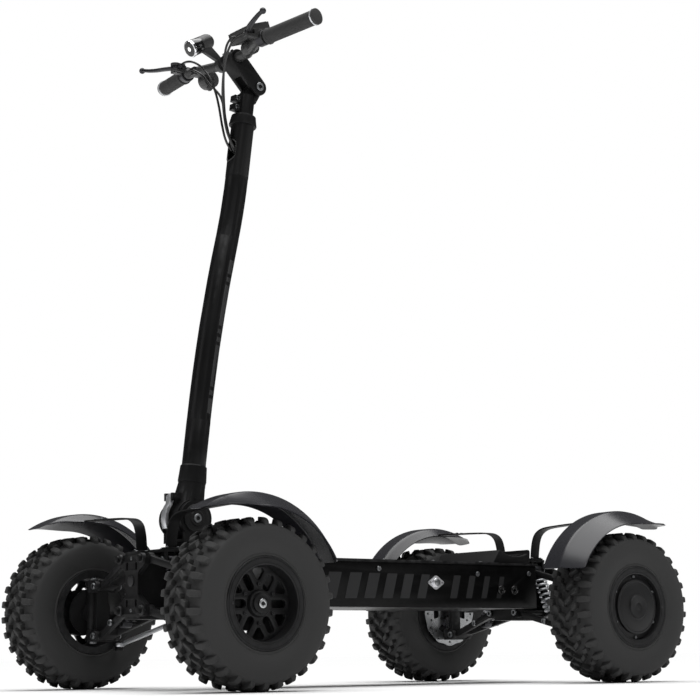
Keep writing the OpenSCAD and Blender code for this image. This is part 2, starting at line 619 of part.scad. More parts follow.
// Draws in the XZ plane about a centre, turned by an angle from +X toward +Z
module in_xz(c, a) { translate([c[0], 0, c[1]]) rotate([90, 0, 0]) rotate([0, 0, a]) children(); }
module stem_base() {
    color("#1b1b1b") difference() {
        union() {
            rod_y(-31, 31, fold_x, fold_z, 40);
            translate([fold_x, 0, fold_z]) rotate([0, -12, 0]) cylinder(h = base_len, r1 = 37, r2 = 28.5);
            translate([stem_p0[0], 0, stem_p0[1]]) rotate([0, -lean0, 0]) translate([0, 0, -8])
                cylinder(h = base_cap + 8, r = 29);
            // Lugs of the latch
            for (y = [[-16, -9.4], [9.4, 16]]) block([fold_x + 10, y[0], 388], [fold_x + 42, y[1], 404]);
        }
        rod_y(-50, 50, fold_x, fold_z, 10 + run);
        // Flats inside the hinge's cheeks
        for (s = [-1, 1]) block([fold_x - 60, s < 0 ? -60 : 31, 290], [fold_x + 60, s < 0 ? -31 : 60, fold_z + 40]);
        block([fold_x + 27, -9.4, 384], [fold_x + 60, 9.4, 410]);
    }
    color("#c9cbcc") rod_y(-17, 17, fold_x + 36, 396, 3);
}
module fold_latch() {
    color("#d8dadb") difference() {
        union() {
            rod_y(-9, 9, fold_x + 36, 396, 6);
            plate_y(-9, 9, concat([[fold_x + 38, 401], [fold_x + 42, 396]], arc(fold_x, fold_z, 54, 38, -22, 8),
                arc(fold_x, fold_z, 47, -22, 38, 8), [[fold_x + 32, 392]]));
        }
        rod_y(-12, 12, fold_x + 36, 396, 3 + run);
    }
}
// The stem's bent run at a radius: straight, two gentle bends and straight again.
// The bends are a hair slimmer and run a little way into the straight parts.
module stem_run(r, from) {
    over = 0.1;
    translate([stem_p0[0], 0, stem_p0[1]]) rotate([0, -lean0, 0]) translate([0, 0, from])
        cylinder(h = 134 - from, r = r);
    in_xz(stem_c1, lean0 - over) rotate_extrude(angle = lean1 - lean0 + 2 * over, $fn = 360)
        translate([bend_r1, 0]) circle(r = r - 0.2, $fn = 48);
    in_xz(stem_c2, 180 + lean2 - over) rotate_extrude(angle = lean1 - lean2 + over, $fn = 360)
        translate([bend_r2, 0]) circle(r = r - 0.4, $fn = 48);
    translate([stem_p3[0], 0, stem_p3[1]]) rotate([0, -lean2, 0]) cylinder(h = stem_top, r = r);
}
module stem_tube() {
    color("#141414") difference() {
        stem_run(stem_r, base_cap);
        stem_run(stem_r - 3, base_cap - 1);
        // Cable port, an oval hole in the front of the tube
        for (z = [1156, 1180]) rod_x(stem_p3[0] - 4, stem_p3[0] + 56, 0, z, 15);
    }
    // Tapered collar, neck, tongue of the riser pivot and pinch bolts
    translate([stem_p4[0], 0, stem_p4[1]]) rotate([0, -lean2, 0]) {
        color("#1d1d1d") translate([0, 0, -16]) cylinder(h = 20, r1 = 30, r2 = 27);
        color("#1d1d1d") cylinder(h = 52, r = 20);
        color("#1d1d1d") for (z = [18, 38]) translate([0, -9, z - 7]) cube([34, 18, 14]);
        color("#c9cbcc") for (z = [18, 38]) rod_y(-13, 13, 27, z, 3.5);
    }
    color("#1d1d1d") difference() {
        union() {
            rod_y(-12, 12, riser_x, riser_z, 15);
            plate_y(-12, 12, [[riser_x - 13, riser_z - 8], [riser_x + 4, riser_z - 38], [296, 1294], [292, 1302],
                [riser_x + 12, riser_z + 9]]);
        }
        rod_y(-14, 14, riser_x, riser_z, 6 + run);
    }
}

// ---- handlebar ----

module riser() {
    d = [clamp_x - riser_x, clamp_z - riser_z];
    a = atan2(d[1], d[0]);
    color("#1a1a1a") difference() {
        union() {
            for (y = [[-22, -12.4], [12.4, 22]]) plate_y(y[0], y[1], concat(
                arc(riser_x, riser_z, 19, a + 90, a + 270, 12), arc(clamp_x, clamp_z, 19, a - 90, a + 90, 12)));
            plate_y(-22, 22, concat([[riser_x + 0.55 * d[0] + 19 * sin(a), riser_z + 0.55 * d[1] - 19 * cos(a)]],
                arc(clamp_x, clamp_z, 19, a - 90, a + 90, 12),
                [[riser_x + 0.55 * d[0] - 19 * sin(a), riser_z + 0.55 * d[1] + 19 * cos(a)]]));
        }
        rod_y(-30, 30, clamp_x, clamp_z, bar_r);
    }
    color("#c9cbcc") {
        rod_y(-25, 25, riser_x, riser_z, 6);
        for (y = [-16, 16]) translate([clamp_x, y, clamp_z]) rotate([0, 90 - a, 0]) translate([0, 0, 16])
            cylinder(h = 6, r = 3.4);
    }
}
module handlebar() {
    color("#202020") {
        rod_y(-56, 56, clamp_x, clamp_z, bar_r);
        for (s = [-1, 1]) mirror([0, s < 0 ? 1 : 0, 0]) {
            translate([clamp_x, 56, clamp_z]) sphere(r = bar_r + 1.2);
            bar([clamp_x, 56, clamp_z], bar_bend, bar_r);
            translate(bar_bend) sphere(r = bar_r + 1.2);
            bar(bar_bend, grip_out - 2 * grip_dir, bar_r);
        }
    }
}
module grips() {
    for (s = [-1, 1]) mirror([0, s < 0 ? 1 : 0, 0]) {
        color("#161616") difference() {
            union() {
                bar(grip_in, grip_out - 6 * grip_dir, 16.4);
                bar(grip_out - 8 * grip_dir, grip_out, 18);
                bar(grip_in, grip_in + 6 * grip_dir, 18.5);
            }
            bar(grip_in - 2 * grip_dir, grip_out - 2 * grip_dir, bar_r);
        }
    }
}
module bar_controls() {
    mid = (bar_bend + grip_in) / 2;
    for (s = [-1, 1]) mirror([0, s < 0 ? 1 : 0, 0]) color("#1e1e1e") {
        // Brake perch: clamp ring, arm and the lever's fork
        difference() {
            union() {
                bar(mid - 9 * grip_dir, mid + 9 * grip_dir, 16);
                block([mid[0] + 6, mid[1] - 8, 1374], [lever_px + 6, mid[1] + 6, 1395]);
                for (z = [[1376, 1381.6], [1390.4, 1396]]) rod_z(z[0], z[1], lever_px, lever_py, 11);
                for (z = [[1376, 1381.6], [1390.4, 1396]])
                    block([lever_px - 20, lever_py - 10, z[0]], [lever_px + 3, lever_py + 4, z[1]]);
            }
            bar(mid - 20 * grip_dir, mid + 20 * grip_dir, bar_r);
            rod_z(1381.6, 1390.4, lever_px, lever_py, 13);
            block([lever_px - 8, lever_py + 3, 1381.6], [lever_px + 20, lever_py + 30, 1390.4]);
        }
    }
    for (s = [-1, 1]) color("#c9cbcc") rod_z(1374, 1398, lever_px, s * lever_py, 3);
    // Throttle housing under the right end of the bar
    color("#1c1c1c") difference() {
        union() {
            rod_y(-132, -106, 302, 1362, 20);
            block([300, -130, 1366], [347, -108, 1384]);
        }
        bar([clamp_x, -56, clamp_z], [bar_bend[0], -bar_bend[1], bar_bend[2]], bar_r);
        rod_y(-112, -100, 302, 1362, 9);
    }
    color("#c9cbcc") rod_y(-113, -96, 302, 1362, 4);
    // Display housing behind and above the left half of the bar, and its clamp
    color("#1c1c1c") difference() {
        union() {
            translate([322, 78, 1412]) rotate([0, 20, 0]) block([-26, -42, -13], [26, 42, 13]);
            rod_y(66, 92, 322, 1380, 16);
            block([312, 66, 1384], [334, 92, 1400]);
        }
        bar([clamp_x, 56, clamp_z], bar_bend, bar_r);
    }
}
module lever_shape() {
    color("#232323") difference() {
        union() {
            rod_z(1382, 1390, lever_px, lever_py, 8);
            translate([0, 0, 1382]) linear_extrude(8) polygon([[lever_px - 7, lever_py - 3], [lever_px + 8, lever_py - 2],
                [lever_px + 18, 178], [lever_px + 12, 186], [lever_px + 4, 172]]);
            bar([lever_px + 13, 180, 1386], [401, 240, 1398], 5.2);
            translate([402, 244, 1399]) sphere(r = 7);
        }
        rod_z(1380, 1400, lever_px, lever_py, 3 + run);
    }
}
module brake_lever_left() { lever_shape(); }
module brake_lever_right() { mirror([0, 1, 0]) lever_shape(); }
module thumb_throttle() {
    color("#242424") difference() {
        union() {
            rod_y(-111.6, -97, 302, 1362, 8.6);
            bar([302, -101, 1356], [315, -96, 1336], 4);
            translate([315, -94, 1335]) sphere(r = 7);
        }
        rod_y(-120, -90, 302, 1362, 4 + run);
    }
}
module headlight() {
    translate(light_p) rotate([0, light_down, 0]) {
        color("#1b1b1b") rod_x(-22, 22, 0, 0, 18);
        color("#1b1b1b") translate([-22, 0, 0]) sphere(r = 18);
        color("#e8e8e8") rod_x(22, 27, 0, 0, 18.6);
        color("#ffffff") rod_x(27, 29, 0, 0, 16);
    }
    color("#202020") difference() {
        union() {
            rod_y(-50, -37, clamp_x, clamp_z, 17);
            plate_y(-50, -40, [[clamp_x + 4, clamp_z + 14], [clamp_x + 14, clamp_z + 6], [364, 1396], [370, 1412], [350, 1416]]);
        }
        rod_y(-70, -30, clamp_x, clamp_z, bar_r + 0.4);
    }
}
module control_cables() {
    color("#0c0c0c") for (c = CABLES) tube(c, cable_r, 8);
}

// ---- nodes ----

deck_tray();
deck_lid();
kick_pad();
power_pack();
deck_fittings();
front_bulkhead();
rear_bulkhead();
front_fenders();
rear_fenders();
steering_post();
stem_base();
stem_tube();
fold_latch();
riser();
handlebar();
grips();
bar_controls();
control_cables();
brake_lever_left();
brake_lever_right();
thumb_throttle();
headlight();
for (c = CORNERS) {
    corner(c[1], c[2]) tyre();
    corner(c[1], c[2]) lower_arm();
    corner(c[1], c[2]) upper_arm();
    corner(c[1], c[2]) damper_body();
    corner(c[1], c[2]) damper_rod();
    corner(c[1], c[2]) spring();
}
for (c = FRONTS) {
    corner(1, c[2]) wheel_front();
    corner(1, c[2]) carrier();
    corner(1, c[2]) knuckle(c[2] < 0);
    corner(1, c[2]) rod_end(c[2] < 0);
    corner(1, c[2]) tie_rod(c[2] < 0);
}
for (c = REARS) {
    corner(-1, c[2]) wheel_rear();
    corner(-1, c[2]) upright();
}
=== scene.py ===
"""Looks of a four-wheel stand-on electric board.

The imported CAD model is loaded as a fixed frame. Each sub-assembly is a class that builds its own
pieces on top of it: knobby tyres, rims, fenders, suspension, deck, stem and handlebar. Lengths are
in metres; +X is forward, +Y is the rider's left and +Z is up. The origin is on the ground, midway
between the axles.
"""

import json
import logging
import math
from dataclasses import dataclass
from enum import Enum
from functools import cache

import bmesh
import bpy
import numpy as np
from mathutils import Matrix, Vector


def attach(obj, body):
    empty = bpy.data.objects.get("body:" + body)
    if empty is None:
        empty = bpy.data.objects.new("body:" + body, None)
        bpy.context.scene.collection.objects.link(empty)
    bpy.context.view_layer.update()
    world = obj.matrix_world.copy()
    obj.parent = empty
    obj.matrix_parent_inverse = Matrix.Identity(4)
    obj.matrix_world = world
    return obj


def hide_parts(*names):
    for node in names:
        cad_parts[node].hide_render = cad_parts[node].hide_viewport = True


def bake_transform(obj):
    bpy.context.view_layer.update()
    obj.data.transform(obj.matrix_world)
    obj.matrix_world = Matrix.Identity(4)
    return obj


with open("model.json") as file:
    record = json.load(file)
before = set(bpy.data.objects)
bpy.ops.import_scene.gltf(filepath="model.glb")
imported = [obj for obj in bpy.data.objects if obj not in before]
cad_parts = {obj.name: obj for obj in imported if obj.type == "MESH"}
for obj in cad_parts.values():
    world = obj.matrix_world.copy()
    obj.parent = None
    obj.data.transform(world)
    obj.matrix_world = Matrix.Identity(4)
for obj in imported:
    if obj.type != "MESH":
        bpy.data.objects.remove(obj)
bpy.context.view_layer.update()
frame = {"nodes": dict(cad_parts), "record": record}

log = logging.getLogger("board")
MM = 0.001
TAU = 2.0 * math.pi
Y_AXIS = np.array([0.0, 1.0, 0.0])


class Corner(Enum):
    """The four corners, each with its end sign (front 1) and side sign (left 1)."""

    FRONT_LEFT = ("fl", 1, 1)
    FRONT_RIGHT = ("fr", 1, -1)
    REAR_LEFT = ("rl", -1, 1)
    REAR_RIGHT = ("rr", -1, -1)

    @property
    def tag(self) -> str:
        """Short name used in the CAD nodes."""
        return self.value[0]

    @property
    def end(self) -> int:
        """1 at the front, -1 at the rear."""
        return self.value[1]

    @property
    def side(self) -> int:
        """1 on the left, -1 on the right."""
        return self.value[2]

    def place(self, points: np.ndarray) -> np.ndarray:
        """Mirrors front-left points to this corner."""
        return np.asarray(points, float) * np.array([self.end, self.side, 1.0])


# ---------------------------------------------------------------------------------------------
# Mesh tools


def build(name: str, verts: np.ndarray, faces: list, smooth: bool = True) -> bpy.types.Object:
    """Makes a mesh object at the origin.

    Args:
        name: Piece name.
        verts: N by 3 array of points in millimetres.
        faces: Lists of vertex numbers.
        smooth: Whether the faces are shaded smooth.

    Returns:
        The new object, linked to the scene.
    """
    mesh = bpy.data.meshes.new(name)
    mesh.from_pydata((np.asarray(verts, float) * MM).tolist(), [], [list(map(int, f)) for f in faces])
    mesh.update()
    mesh.polygons.foreach_set("use_smooth", [smooth] * len(mesh.polygons))
    piece = bpy.data.objects.new(name, mesh)
    bpy.context.scene.collection.objects.link(piece)
    return piece


def outward(piece: bpy.types.Object, merge: float = 1e-6) -> bpy.types.Object:
    """Merges doubled points and turns every face outward."""
    work = bmesh.new()
    work.from_mesh(piece.data)
    bmesh.ops.remove_doubles(work, verts=work.verts, dist=merge)
    bmesh.ops.recalc_face_normals(work, faces=work.faces)
    work.to_mesh(piece.data)
    work.free()
    return piece


def grid_faces(rows: int, cols: int, wrap_rows: bool = False, wrap_cols: bool = False) -> np.ndarray:
    """Quads of a grid of points numbered row by row, optionally closed in either direction."""
    r = np.arange(rows if wrap_rows else rows - 1)
    c = np.arange(cols if wrap_cols else cols - 1)
    i, j = np.meshgrid(r, c, indexing="ij")
    i2, j2 = (i + 1) % rows, (j + 1) % cols
    return np.stack([i * cols + j, i2 * cols + j, i2 * cols + j2, i * cols + j2], axis=-1).reshape(-1, 4)


def joined(parts: list) -> tuple:
    """Joins (verts, faces) pairs into one pair."""
    verts, faces, base = [], [], 0
    for v, f in parts:
        verts.append(np.asarray(v, float))
        faces += [[int(k) + base for k in face] for face in f]
        base += len(v)
    return np.concatenate(verts), faces


def revolve(profile: list, centre: tuple, axis: str = "y", steps: int = 96) -> tuple:
    """Turns a closed profile about an axis through a centre.

    A profile point is (radius, height along the axis); the point at angle a stands at radius times
    (cos a, sin a) in the plane across the axis.

    Args:
        profile: Closed outline of (radius, height) points.
        centre: A point on the axis; the profile's heights are added to it.
        axis: "x", "y" or "z".
        steps: Points around the turn.

    Returns:
        Vertices and quads of the closed ring.
    """
    pts = np.asarray(profile, float)
    a = np.linspace(0, TAU, steps, endpoint=False)
    ring = pts[None, :, 0] * np.cos(a)[:, None], pts[None, :, 0] * np.sin(a)[:, None]
    along = np.broadcast_to(pts[None, :, 1], ring[0].shape)
    order = {"x": (along, ring[0], ring[1]), "y": (ring[1], along, ring[0]),
             "z": (ring[0], ring[1], along)}[axis]
    verts = np.stack(order, axis=-1).reshape(-1, 3) + np.asarray(centre, float)
    return verts, grid_faces(steps, len(pts), True, True)


def turned(profile: list, start: tuple, end: tuple, steps: int = 40) -> tuple:
    """Turns an open profile about the line from start to end and closes both ends with caps.

    A profile point is (share of the length, radius); the surface at share s lies on the circle of
    that radius about the line.
    """
    p = np.asarray(profile, float)
    a, b = np.asarray(start, float), np.asarray(end, float)
    axis = (b - a) / np.linalg.norm(b - a)
    ref = np.array([0.0, 0.0, 1.0]) if abs(axis[2]) < 0.9 else np.array([1.0, 0.0, 0.0])
    u = np.cross(axis, ref)
    u /= np.linalg.norm(u)
    v = np.cross(axis, u)
    t = np.linspace(0, TAU, steps, endpoint=False)
    circle = np.cos(t)[:, None] * u + np.sin(t)[:, None] * v
    verts = (a + p[:, None, None, 0] * (b - a) + p[:, None, None, 1] * circle[None]).reshape(-1, 3)
    faces = grid_faces(len(p), steps, False, True).tolist()
    faces.append(list(range(steps - 1, -1, -1)))
    faces.append(list(range((len(p) - 1) * steps, len(p) * steps)))
    return verts, faces


def smooth_path(points: list, steps: int) -> np.ndarray:
    """Points evenly spread by length on a smooth cubic through the given points.

    Each span is the Catmull-Rom cubic, the one whose slope at a point is half the step between its
    neighbours.
    """
    p = np.asarray(points, float)
    ext = np.vstack([2 * p[0] - p[1], p, 2 * p[-1] - p[-2]])
    t = np.linspace(0, 1, 24, endpoint=False)[:, None]
    spans = []
    for i in range(len(p) - 1):
        a, b, c, d = ext[i : i + 4]
        spans.append(0.5 * (2 * b + (c - a) * t + (2 * a - 5 * b + 4 * c - d) * t**2
                            + (3 * b - a - 3 * c + d) * t**3))
    fine = np.vstack(spans + [p[-1:]])
    run = np.concatenate([[0], np.cumsum(np.linalg.norm(np.diff(fine, axis=0), axis=1))])
    want = np.linspace(0, run[-1], steps)
    return np.stack([np.interp(want, run, fine[:, k]) for k in range(3)], axis=1)


def frames_along(path: np.ndarray, up: tuple = (0.0, 0.0, 1.0)) -> tuple:
    """Two unit vectors across a path at each point, kept from twisting by parallel transport."""
    tangent = np.gradient(path, axis=0)
    tangent /= np.linalg.norm(tangent, axis=1)[:, None]
    u = np.cross(tangent[0], up)
    if np.linalg.norm(u) < 1e-6:
        u = np.cross(tangent[0], (1.0, 0.0, 0.0))
    across = [u / np.linalg.norm(u)]
    for t in tangent[1:]:
        w = across[-1] - t * np.dot(across[-1], t)
        across.append(w / np.linalg.norm(w))
    across = np.array(across)
    return across, np.cross(tangent, across)


def sweep(path: np.ndarray, section: np.ndarray, scale: np.ndarray = None,
          up: tuple = (0.0, 0.0, 1.0)) -> tuple:
    """Carries a closed cross-section along a path and caps both ends.

    Args:
        path: N by 3 points.
        section: M by 2 outline, in the two directions across the path.
        scale: Optional N by 2 scale of the outline at each point.
        up: Direction that the section's second axis starts near.

    Returns:
        Vertices and faces of the closed tube.
    """
    u, v = frames_along(path, up)
    s = np.ones((len(path), 2)) if scale is None else np.asarray(scale, float)
    verts = (
        path[:, None, :]
        + section[None, :, 0, None] * s[:, None, 0, None] * u[:, None, :]
        + section[None, :, 1, None] * s[:, None, 1, None] * v[:, None, :]
    )
    m = len(section)
    faces = grid_faces(len(path), m, False, True).tolist()
    faces.append(list(range(m - 1, -1, -1)))
    faces.append(list(range((len(path) - 1) * m, len(path) * m)))
    return verts.reshape(-1, 3), faces


def circle(radius: float, steps: int = 16) -> np.ndarray:
    """Outline of a circle."""
    a = np.linspace(0, TAU, steps, endpoint=False)
    return radius * np.stack([np.cos(a), np.sin(a)], axis=1)


def rounded_rect(width: float, height: float, radius: float, steps: int = 4) -> np.ndarray:
    """Outline of a rectangle with round corners, centred on the origin."""
    a = np.linspace(0, math.pi / 2, steps + 1)
    quarter = radius * np.stack([np.cos(a), np.sin(a)], axis=1)
    cx, cy = width / 2 - radius, height / 2 - radius
    turns = []
    for k, (sx, sy) in enumerate(((1, 1), (-1, 1), (-1, -1), (1, -1))):
        c, s = math.cos(k * math.pi / 2), math.sin(k * math.pi / 2)
        turns.append(quarter @ np.array([[c, s], [-s, c]]) + np.array([sx * cx, sy * cy]))
    return np.vstack(turns)


def box(lo: tuple, hi: tuple) -> tuple:
    """Vertices and faces of a box between two corners."""
    x, y, z = np.meshgrid(*[(a, b) for a, b in zip(lo, hi)], indexing="ij")
    verts = np.stack([x, y, z], axis=-1).reshape(-1, 3)
    return verts, [[0, 1, 3, 2], [4, 6, 7, 5], [0, 4, 5, 1], [2, 3, 7, 6], [0, 2, 6, 4], [1, 5, 7, 3]]


def prism(outline: np.ndarray, origin: tuple, u: tuple, v: tuple, depth: tuple) -> tuple:
    """Straight prism: an outline in the plane of u and v, carried from the origin along depth."""
    o = np.asarray(outline, float)
    flat = np.asarray(origin, float) + o[:, :1] * np.asarray(u, float) + o[:, 1:] * np.asarray(v, float)
    verts = np.vstack([flat, flat + np.asarray(depth, float)])
    n = len(o)
    k = np.arange(n)
    faces = np.stack([k, (k + 1) % n, (k + 1) % n + n, k + n], axis=1).tolist()
    return verts, faces + [list(range(n - 1, -1, -1)), list(range(n, 2 * n))]


def hex_bolt(at: tuple, along: tuple, radius: float, height: float) -> tuple:
    """A round socket head with a six-sided recess, standing along a direction."""
    a = np.asarray(at, float)
    d = np.asarray(along, float)
    d = d / np.linalg.norm(d)
    ref = np.array([0.0, 0.0, 1.0]) if abs(d[2]) < 0.9 else np.array([1.0, 0.0, 0.0])
    u = np.cross(d, ref)
    u /= np.linalg.norm(u)
    v = np.cross(d, u)
    steps = 24
    t = np.arange(steps) * TAU / steps
    # Distance from the middle to a hexagon's side at angle t
    hexagon = 0.50 / np.cos((t + math.pi / 6) % (math.pi / 3) - math.pi / 6)
    rows = [(np.ones(steps), 0.0), (np.ones(steps), 0.82), (np.full(steps, 0.88), 1.0), (hexagon * 1.12, 1.0),
            (hexagon, 0.94), (hexagon, 0.45)]
    verts = [a + radius * (r[:, None] * (np.cos(t)[:, None] * u + np.sin(t)[:, None] * v)) + height * h * d
             for r, h in rows]
    faces = grid_faces(len(rows), steps, False, True).tolist()
    last = (len(rows) - 1) * steps
    return np.vstack(verts), faces + [list(range(steps - 1, -1, -1)), list(range(last, last + steps))]


def bevelled(piece: bpy.types.Object, width: float, segments: int = 2,
             angle: float = 35.0) -> bpy.types.Object:
    """Rounds the piece's sharp edges with a bevel modifier."""
    mod = piece.modifiers.new("round", "BEVEL")
    mod.width, mod.segments, mod.limit_method = width, segments, "ANGLE"
    mod.angle_limit = math.radians(angle)
    mod.harden_normals = True
    return piece


def softened(node: str, width: float = 0.0007) -> bpy.types.Object:
    """A copy of a CAD node with its sharp edges rounded, standing for that node.

    Args:
        node: CAD node name.
        width: Width of the rounding.

    Returns:
        The copy, standing where the node stands.
    """
    source = frame["nodes"][node]
    mesh = source.data.copy()
    mesh.name = node + "_shape"
    piece = bpy.data.objects.new(node + "_shape", mesh)
    bpy.context.scene.collection.objects.link(piece)
    piece.matrix_world = Matrix.Identity(4)
    mesh.transform(source.matrix_world)
    work = bmesh.new()
    work.from_mesh(mesh)
    bmesh.ops.remove_doubles(work, verts=work.verts, dist=2e-6)
    bmesh.ops.dissolve_limit(work, angle_limit=math.radians(1.0), verts=work.verts, edges=work.edges)
    work.to_mesh(mesh)
    work.free()
    mesh.polygons.foreach_set("use_smooth", [True] * len(mesh.polygons))
    bevelled(piece, width, 2, 38.0)
    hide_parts(node)
    return piece


BODY_OF = {n: b for b, nodes in frame["record"]["behaviour"]["bodies"].items() for n in nodes}


def dress(piece: bpy.types.Object, body: str, finish, slot: str, *nodes: str) -> bpy.types.Object:
    """Gives a piece its material and body, and hides the CAD nodes it stands for.

    Args:
        piece: The object.
        body: CAD body it rides on.
        finish: Finish or ready material.
        slot: Record slot name; not used.
        nodes: CAD nodes that it replaces.

    Returns:
        The same piece.
    """
    piece.data.materials.clear()
    piece.data.materials.append(finish if isinstance(finish, bpy.types.Material) else finish.material())
    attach(piece, body)
    if nodes:
        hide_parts(*nodes)
    log.info("%s rides on %s", piece.name, body)
    return piece


def add(name: str, parts: list, body: str, finish, slot: str, *nodes: str, smooth: bool = True,
        split: float = 0.0) -> bpy.types.Object:
    """Builds one piece from its parts and dresses it.

    Args:
        name: Piece name.
        parts: The (verts, faces) pairs that the piece is made of.
        body: CAD body it rides on.
        finish: Finish of the surface.
        slot: Record slot name.
        nodes: CAD nodes that it replaces.
        smooth: Whether the faces are shaded smooth.
        split: Angle in degrees beyond which an edge is shaded sharp, or 0 for none.

    Returns:
        The piece.
    """
    piece = outward(build(name, *joined(parts), smooth=smooth))
    if split:
        piece.modifiers.new("edges", "EDGE_SPLIT").split_angle = math.radians(split)
    return dress(piece, body, finish, slot, *nodes)


def dress_node(node: str, finish, width: float = 0.0007, keep: bool = False) -> None:
    """Finishes a CAD node: a softened copy stands for it, or the node itself stays.

    Args:
        node: CAD node name.
        finish: Finish of the surface.
        width: Width of the rounded edges.
        keep: Whether the CAD mesh itself stays.
    """
    if keep:
        obj = frame["nodes"][node]
        obj.data.materials.clear()
        obj.data.materials.append(finish.material())
        return
    piece = softened(node, width)
    piece.data.materials.clear()
    piece.data.materials.append(finish.material())
    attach(piece, BODY_OF[node])


# ---------------------------------------------------------------------------------------------
# Shader node groups


class Effects:
    """Shader node groups that several finishes share, each built once."""

    @staticmethod
    def _group(name: str, inputs: list, outputs: list) -> tuple:
        """Starts a group with float and colour sockets and returns it with its two end nodes."""
        tree = bpy.data.node_groups.new(name, "ShaderNodeTree")
        for label, kind, value in inputs:
            s = tree.interface.new_socket(label, in_out="INPUT", socket_type=kind)
            s.default_value = value
        for label, kind in outputs:
            tree.interface.new_socket(label, in_out="OUTPUT", socket_type=kind)
        return tree, tree.nodes.new("NodeGroupInput"), tree.nodes.new("NodeGroupOutput")

    @classmethod
    @cache
    def grain(cls) -> bpy.types.NodeTree:
        """Fine moulded or powder-coated grain with broad cloudy variation of shade and gloss.

        Shade is dark plus (light less dark) times the cloud; roughness runs between low and high the
        same way; height is the fine noise.
        """
        tree, i, o = cls._group("surface_grain",
                                [("Dark", "NodeSocketColor", (0.01, 0.01, 0.01, 1)),
                                 ("Light", "NodeSocketColor", (0.03, 0.03, 0.03, 1)),
                                 ("Rough low", "NodeSocketFloat", 0.4),
                                 ("Rough high", "NodeSocketFloat", 0.6),
                                 ("Fine scale", "NodeSocketFloat", 900.0),
                                 ("Cloud scale", "NodeSocketFloat", 9.0)],
                                [("Color", "NodeSocketColor"), ("Roughness", "NodeSocketFloat"),
                                 ("Height", "NodeSocketFloat")])
        n, link = tree.nodes, tree.links.new
        co = n.new("ShaderNodeTexCoord")
        fine, cloud = n.new("ShaderNodeTexNoise"), n.new("ShaderNodeTexNoise")
        fine.inputs["Detail"].default_value = 3.0
        cloud.inputs["Detail"].default_value = 5.0
        for tex, label in ((fine, "Fine scale"), (cloud, "Cloud scale")):
            link(co.outputs["Object"], tex.inputs["Vector"])
            link(i.outputs[label], tex.inputs["Scale"])
        blend = n.new("ShaderNodeMath")
        blend.operation = "MULTIPLY_ADD"
        blend.inputs[1].default_value = 0.35
        link(fine.outputs["Fac"], blend.inputs[0])
        link(cloud.outputs["Fac"], blend.inputs[2])
        spread = n.new("ShaderNodeMapRange")
        spread.inputs["From Min"].default_value, spread.inputs["From Max"].default_value = 0.42, 0.92
        link(blend.outputs[0], spread.inputs["Value"])
        mix = n.new("ShaderNodeMix")
        mix.data_type = "RGBA"
        link(spread.outputs["Result"], mix.inputs["Factor"])
        link(i.outputs["Dark"], mix.inputs["A"])
        link(i.outputs["Light"], mix.inputs["B"])
        rough = n.new("ShaderNodeMapRange")
        link(spread.outputs["Result"], rough.inputs["Value"])
        link(i.outputs["Rough low"], rough.inputs["To Min"])
        link(i.outputs["Rough high"], rough.inputs["To Max"])
        link(mix.outputs["Result"], o.inputs["Color"])
        link(rough.outputs["Result"], o.inputs["Roughness"])
        link(fine.outputs["Fac"], o.inputs["Height"])
        return tree

    @classmethod
    def _broken_mask(cls, name: str, amount: float, scale: float, detail: float, upward: bool, span: tuple,
                     patches: tuple) -> bpy.types.NodeTree:
        """Mask that follows the surface's shape, broken up by noise.

        Args:
            name: Group name.
            amount: Default strength of the mask.
            scale: Default scale of the noise.
            detail: Detail of the noise.
            upward: Whether the mask follows the upward slope; otherwise it follows how sharply the
                surface bends outward.
            span: Values of the surface's measure at which the mask starts and is full.
            patches: Values of the noise at which the mask starts and is full.

        Returns:
            The group.
        """
        tree, i, o = cls._group(name, [("Amount", "NodeSocketFloat", amount),
                                       ("Scale", "NodeSocketFloat", scale)], [("Mask", "NodeSocketFloat")])
        n, link = tree.nodes, tree.links.new
        kinds = ("ShaderNodeNewGeometry", "ShaderNodeTexCoord", "ShaderNodeTexNoise")
        geo, co, tex = (n.new(kind) for kind in kinds)
        tex.inputs["Detail"].default_value = detail
        link(co.outputs["Object"], tex.inputs["Vector"])
        link(i.outputs["Scale"], tex.inputs["Scale"])
        measure = geo.outputs["Pointiness"]
        if upward:
            split = n.new("ShaderNodeSeparateXYZ")
            link(geo.outputs["Normal"], split.inputs["Vector"])
            measure = split.outputs["Z"]
        factors = []
        for value, (low, high) in ((measure, span), (tex.outputs["Fac"], patches)):
            spread = n.new("ShaderNodeMapRange")
            spread.inputs["From Min"].default_value, spread.inputs["From Max"].default_value = low, high
            link(value, spread.inputs["Value"])
            factors.append(spread.outputs["Result"])
        product = factors[0]
        for factor in (factors[1], i.outputs["Amount"]):
            times = n.new("ShaderNodeMath")
            times.operation = "MULTIPLY"
            link(product, times.inputs[0])
            link(factor, times.inputs[1])
            product = times.outputs[0]
        link(product, o.inputs["Mask"])
        return tree

    @classmethod
    @cache
    def edge_wear(cls) -> bpy.types.NodeTree:
        """Mask of rubbed edges: how sharply the surface bends outward, broken up by noise."""
        return cls._broken_mask("edge_wear", 0.3, 60.0, 6.0, False, (0.53, 0.64), (0.42, 0.66))

    @classmethod
    @cache
    def dust(cls) -> bpy.types.NodeTree:
        """Mask of settled dust: the surface's upward slope times a patchy noise."""
        return cls._broken_mask("settled_dust", 0.1, 25.0, 7.0, True, (-0.2, 1.0), (0.35, 0.75))

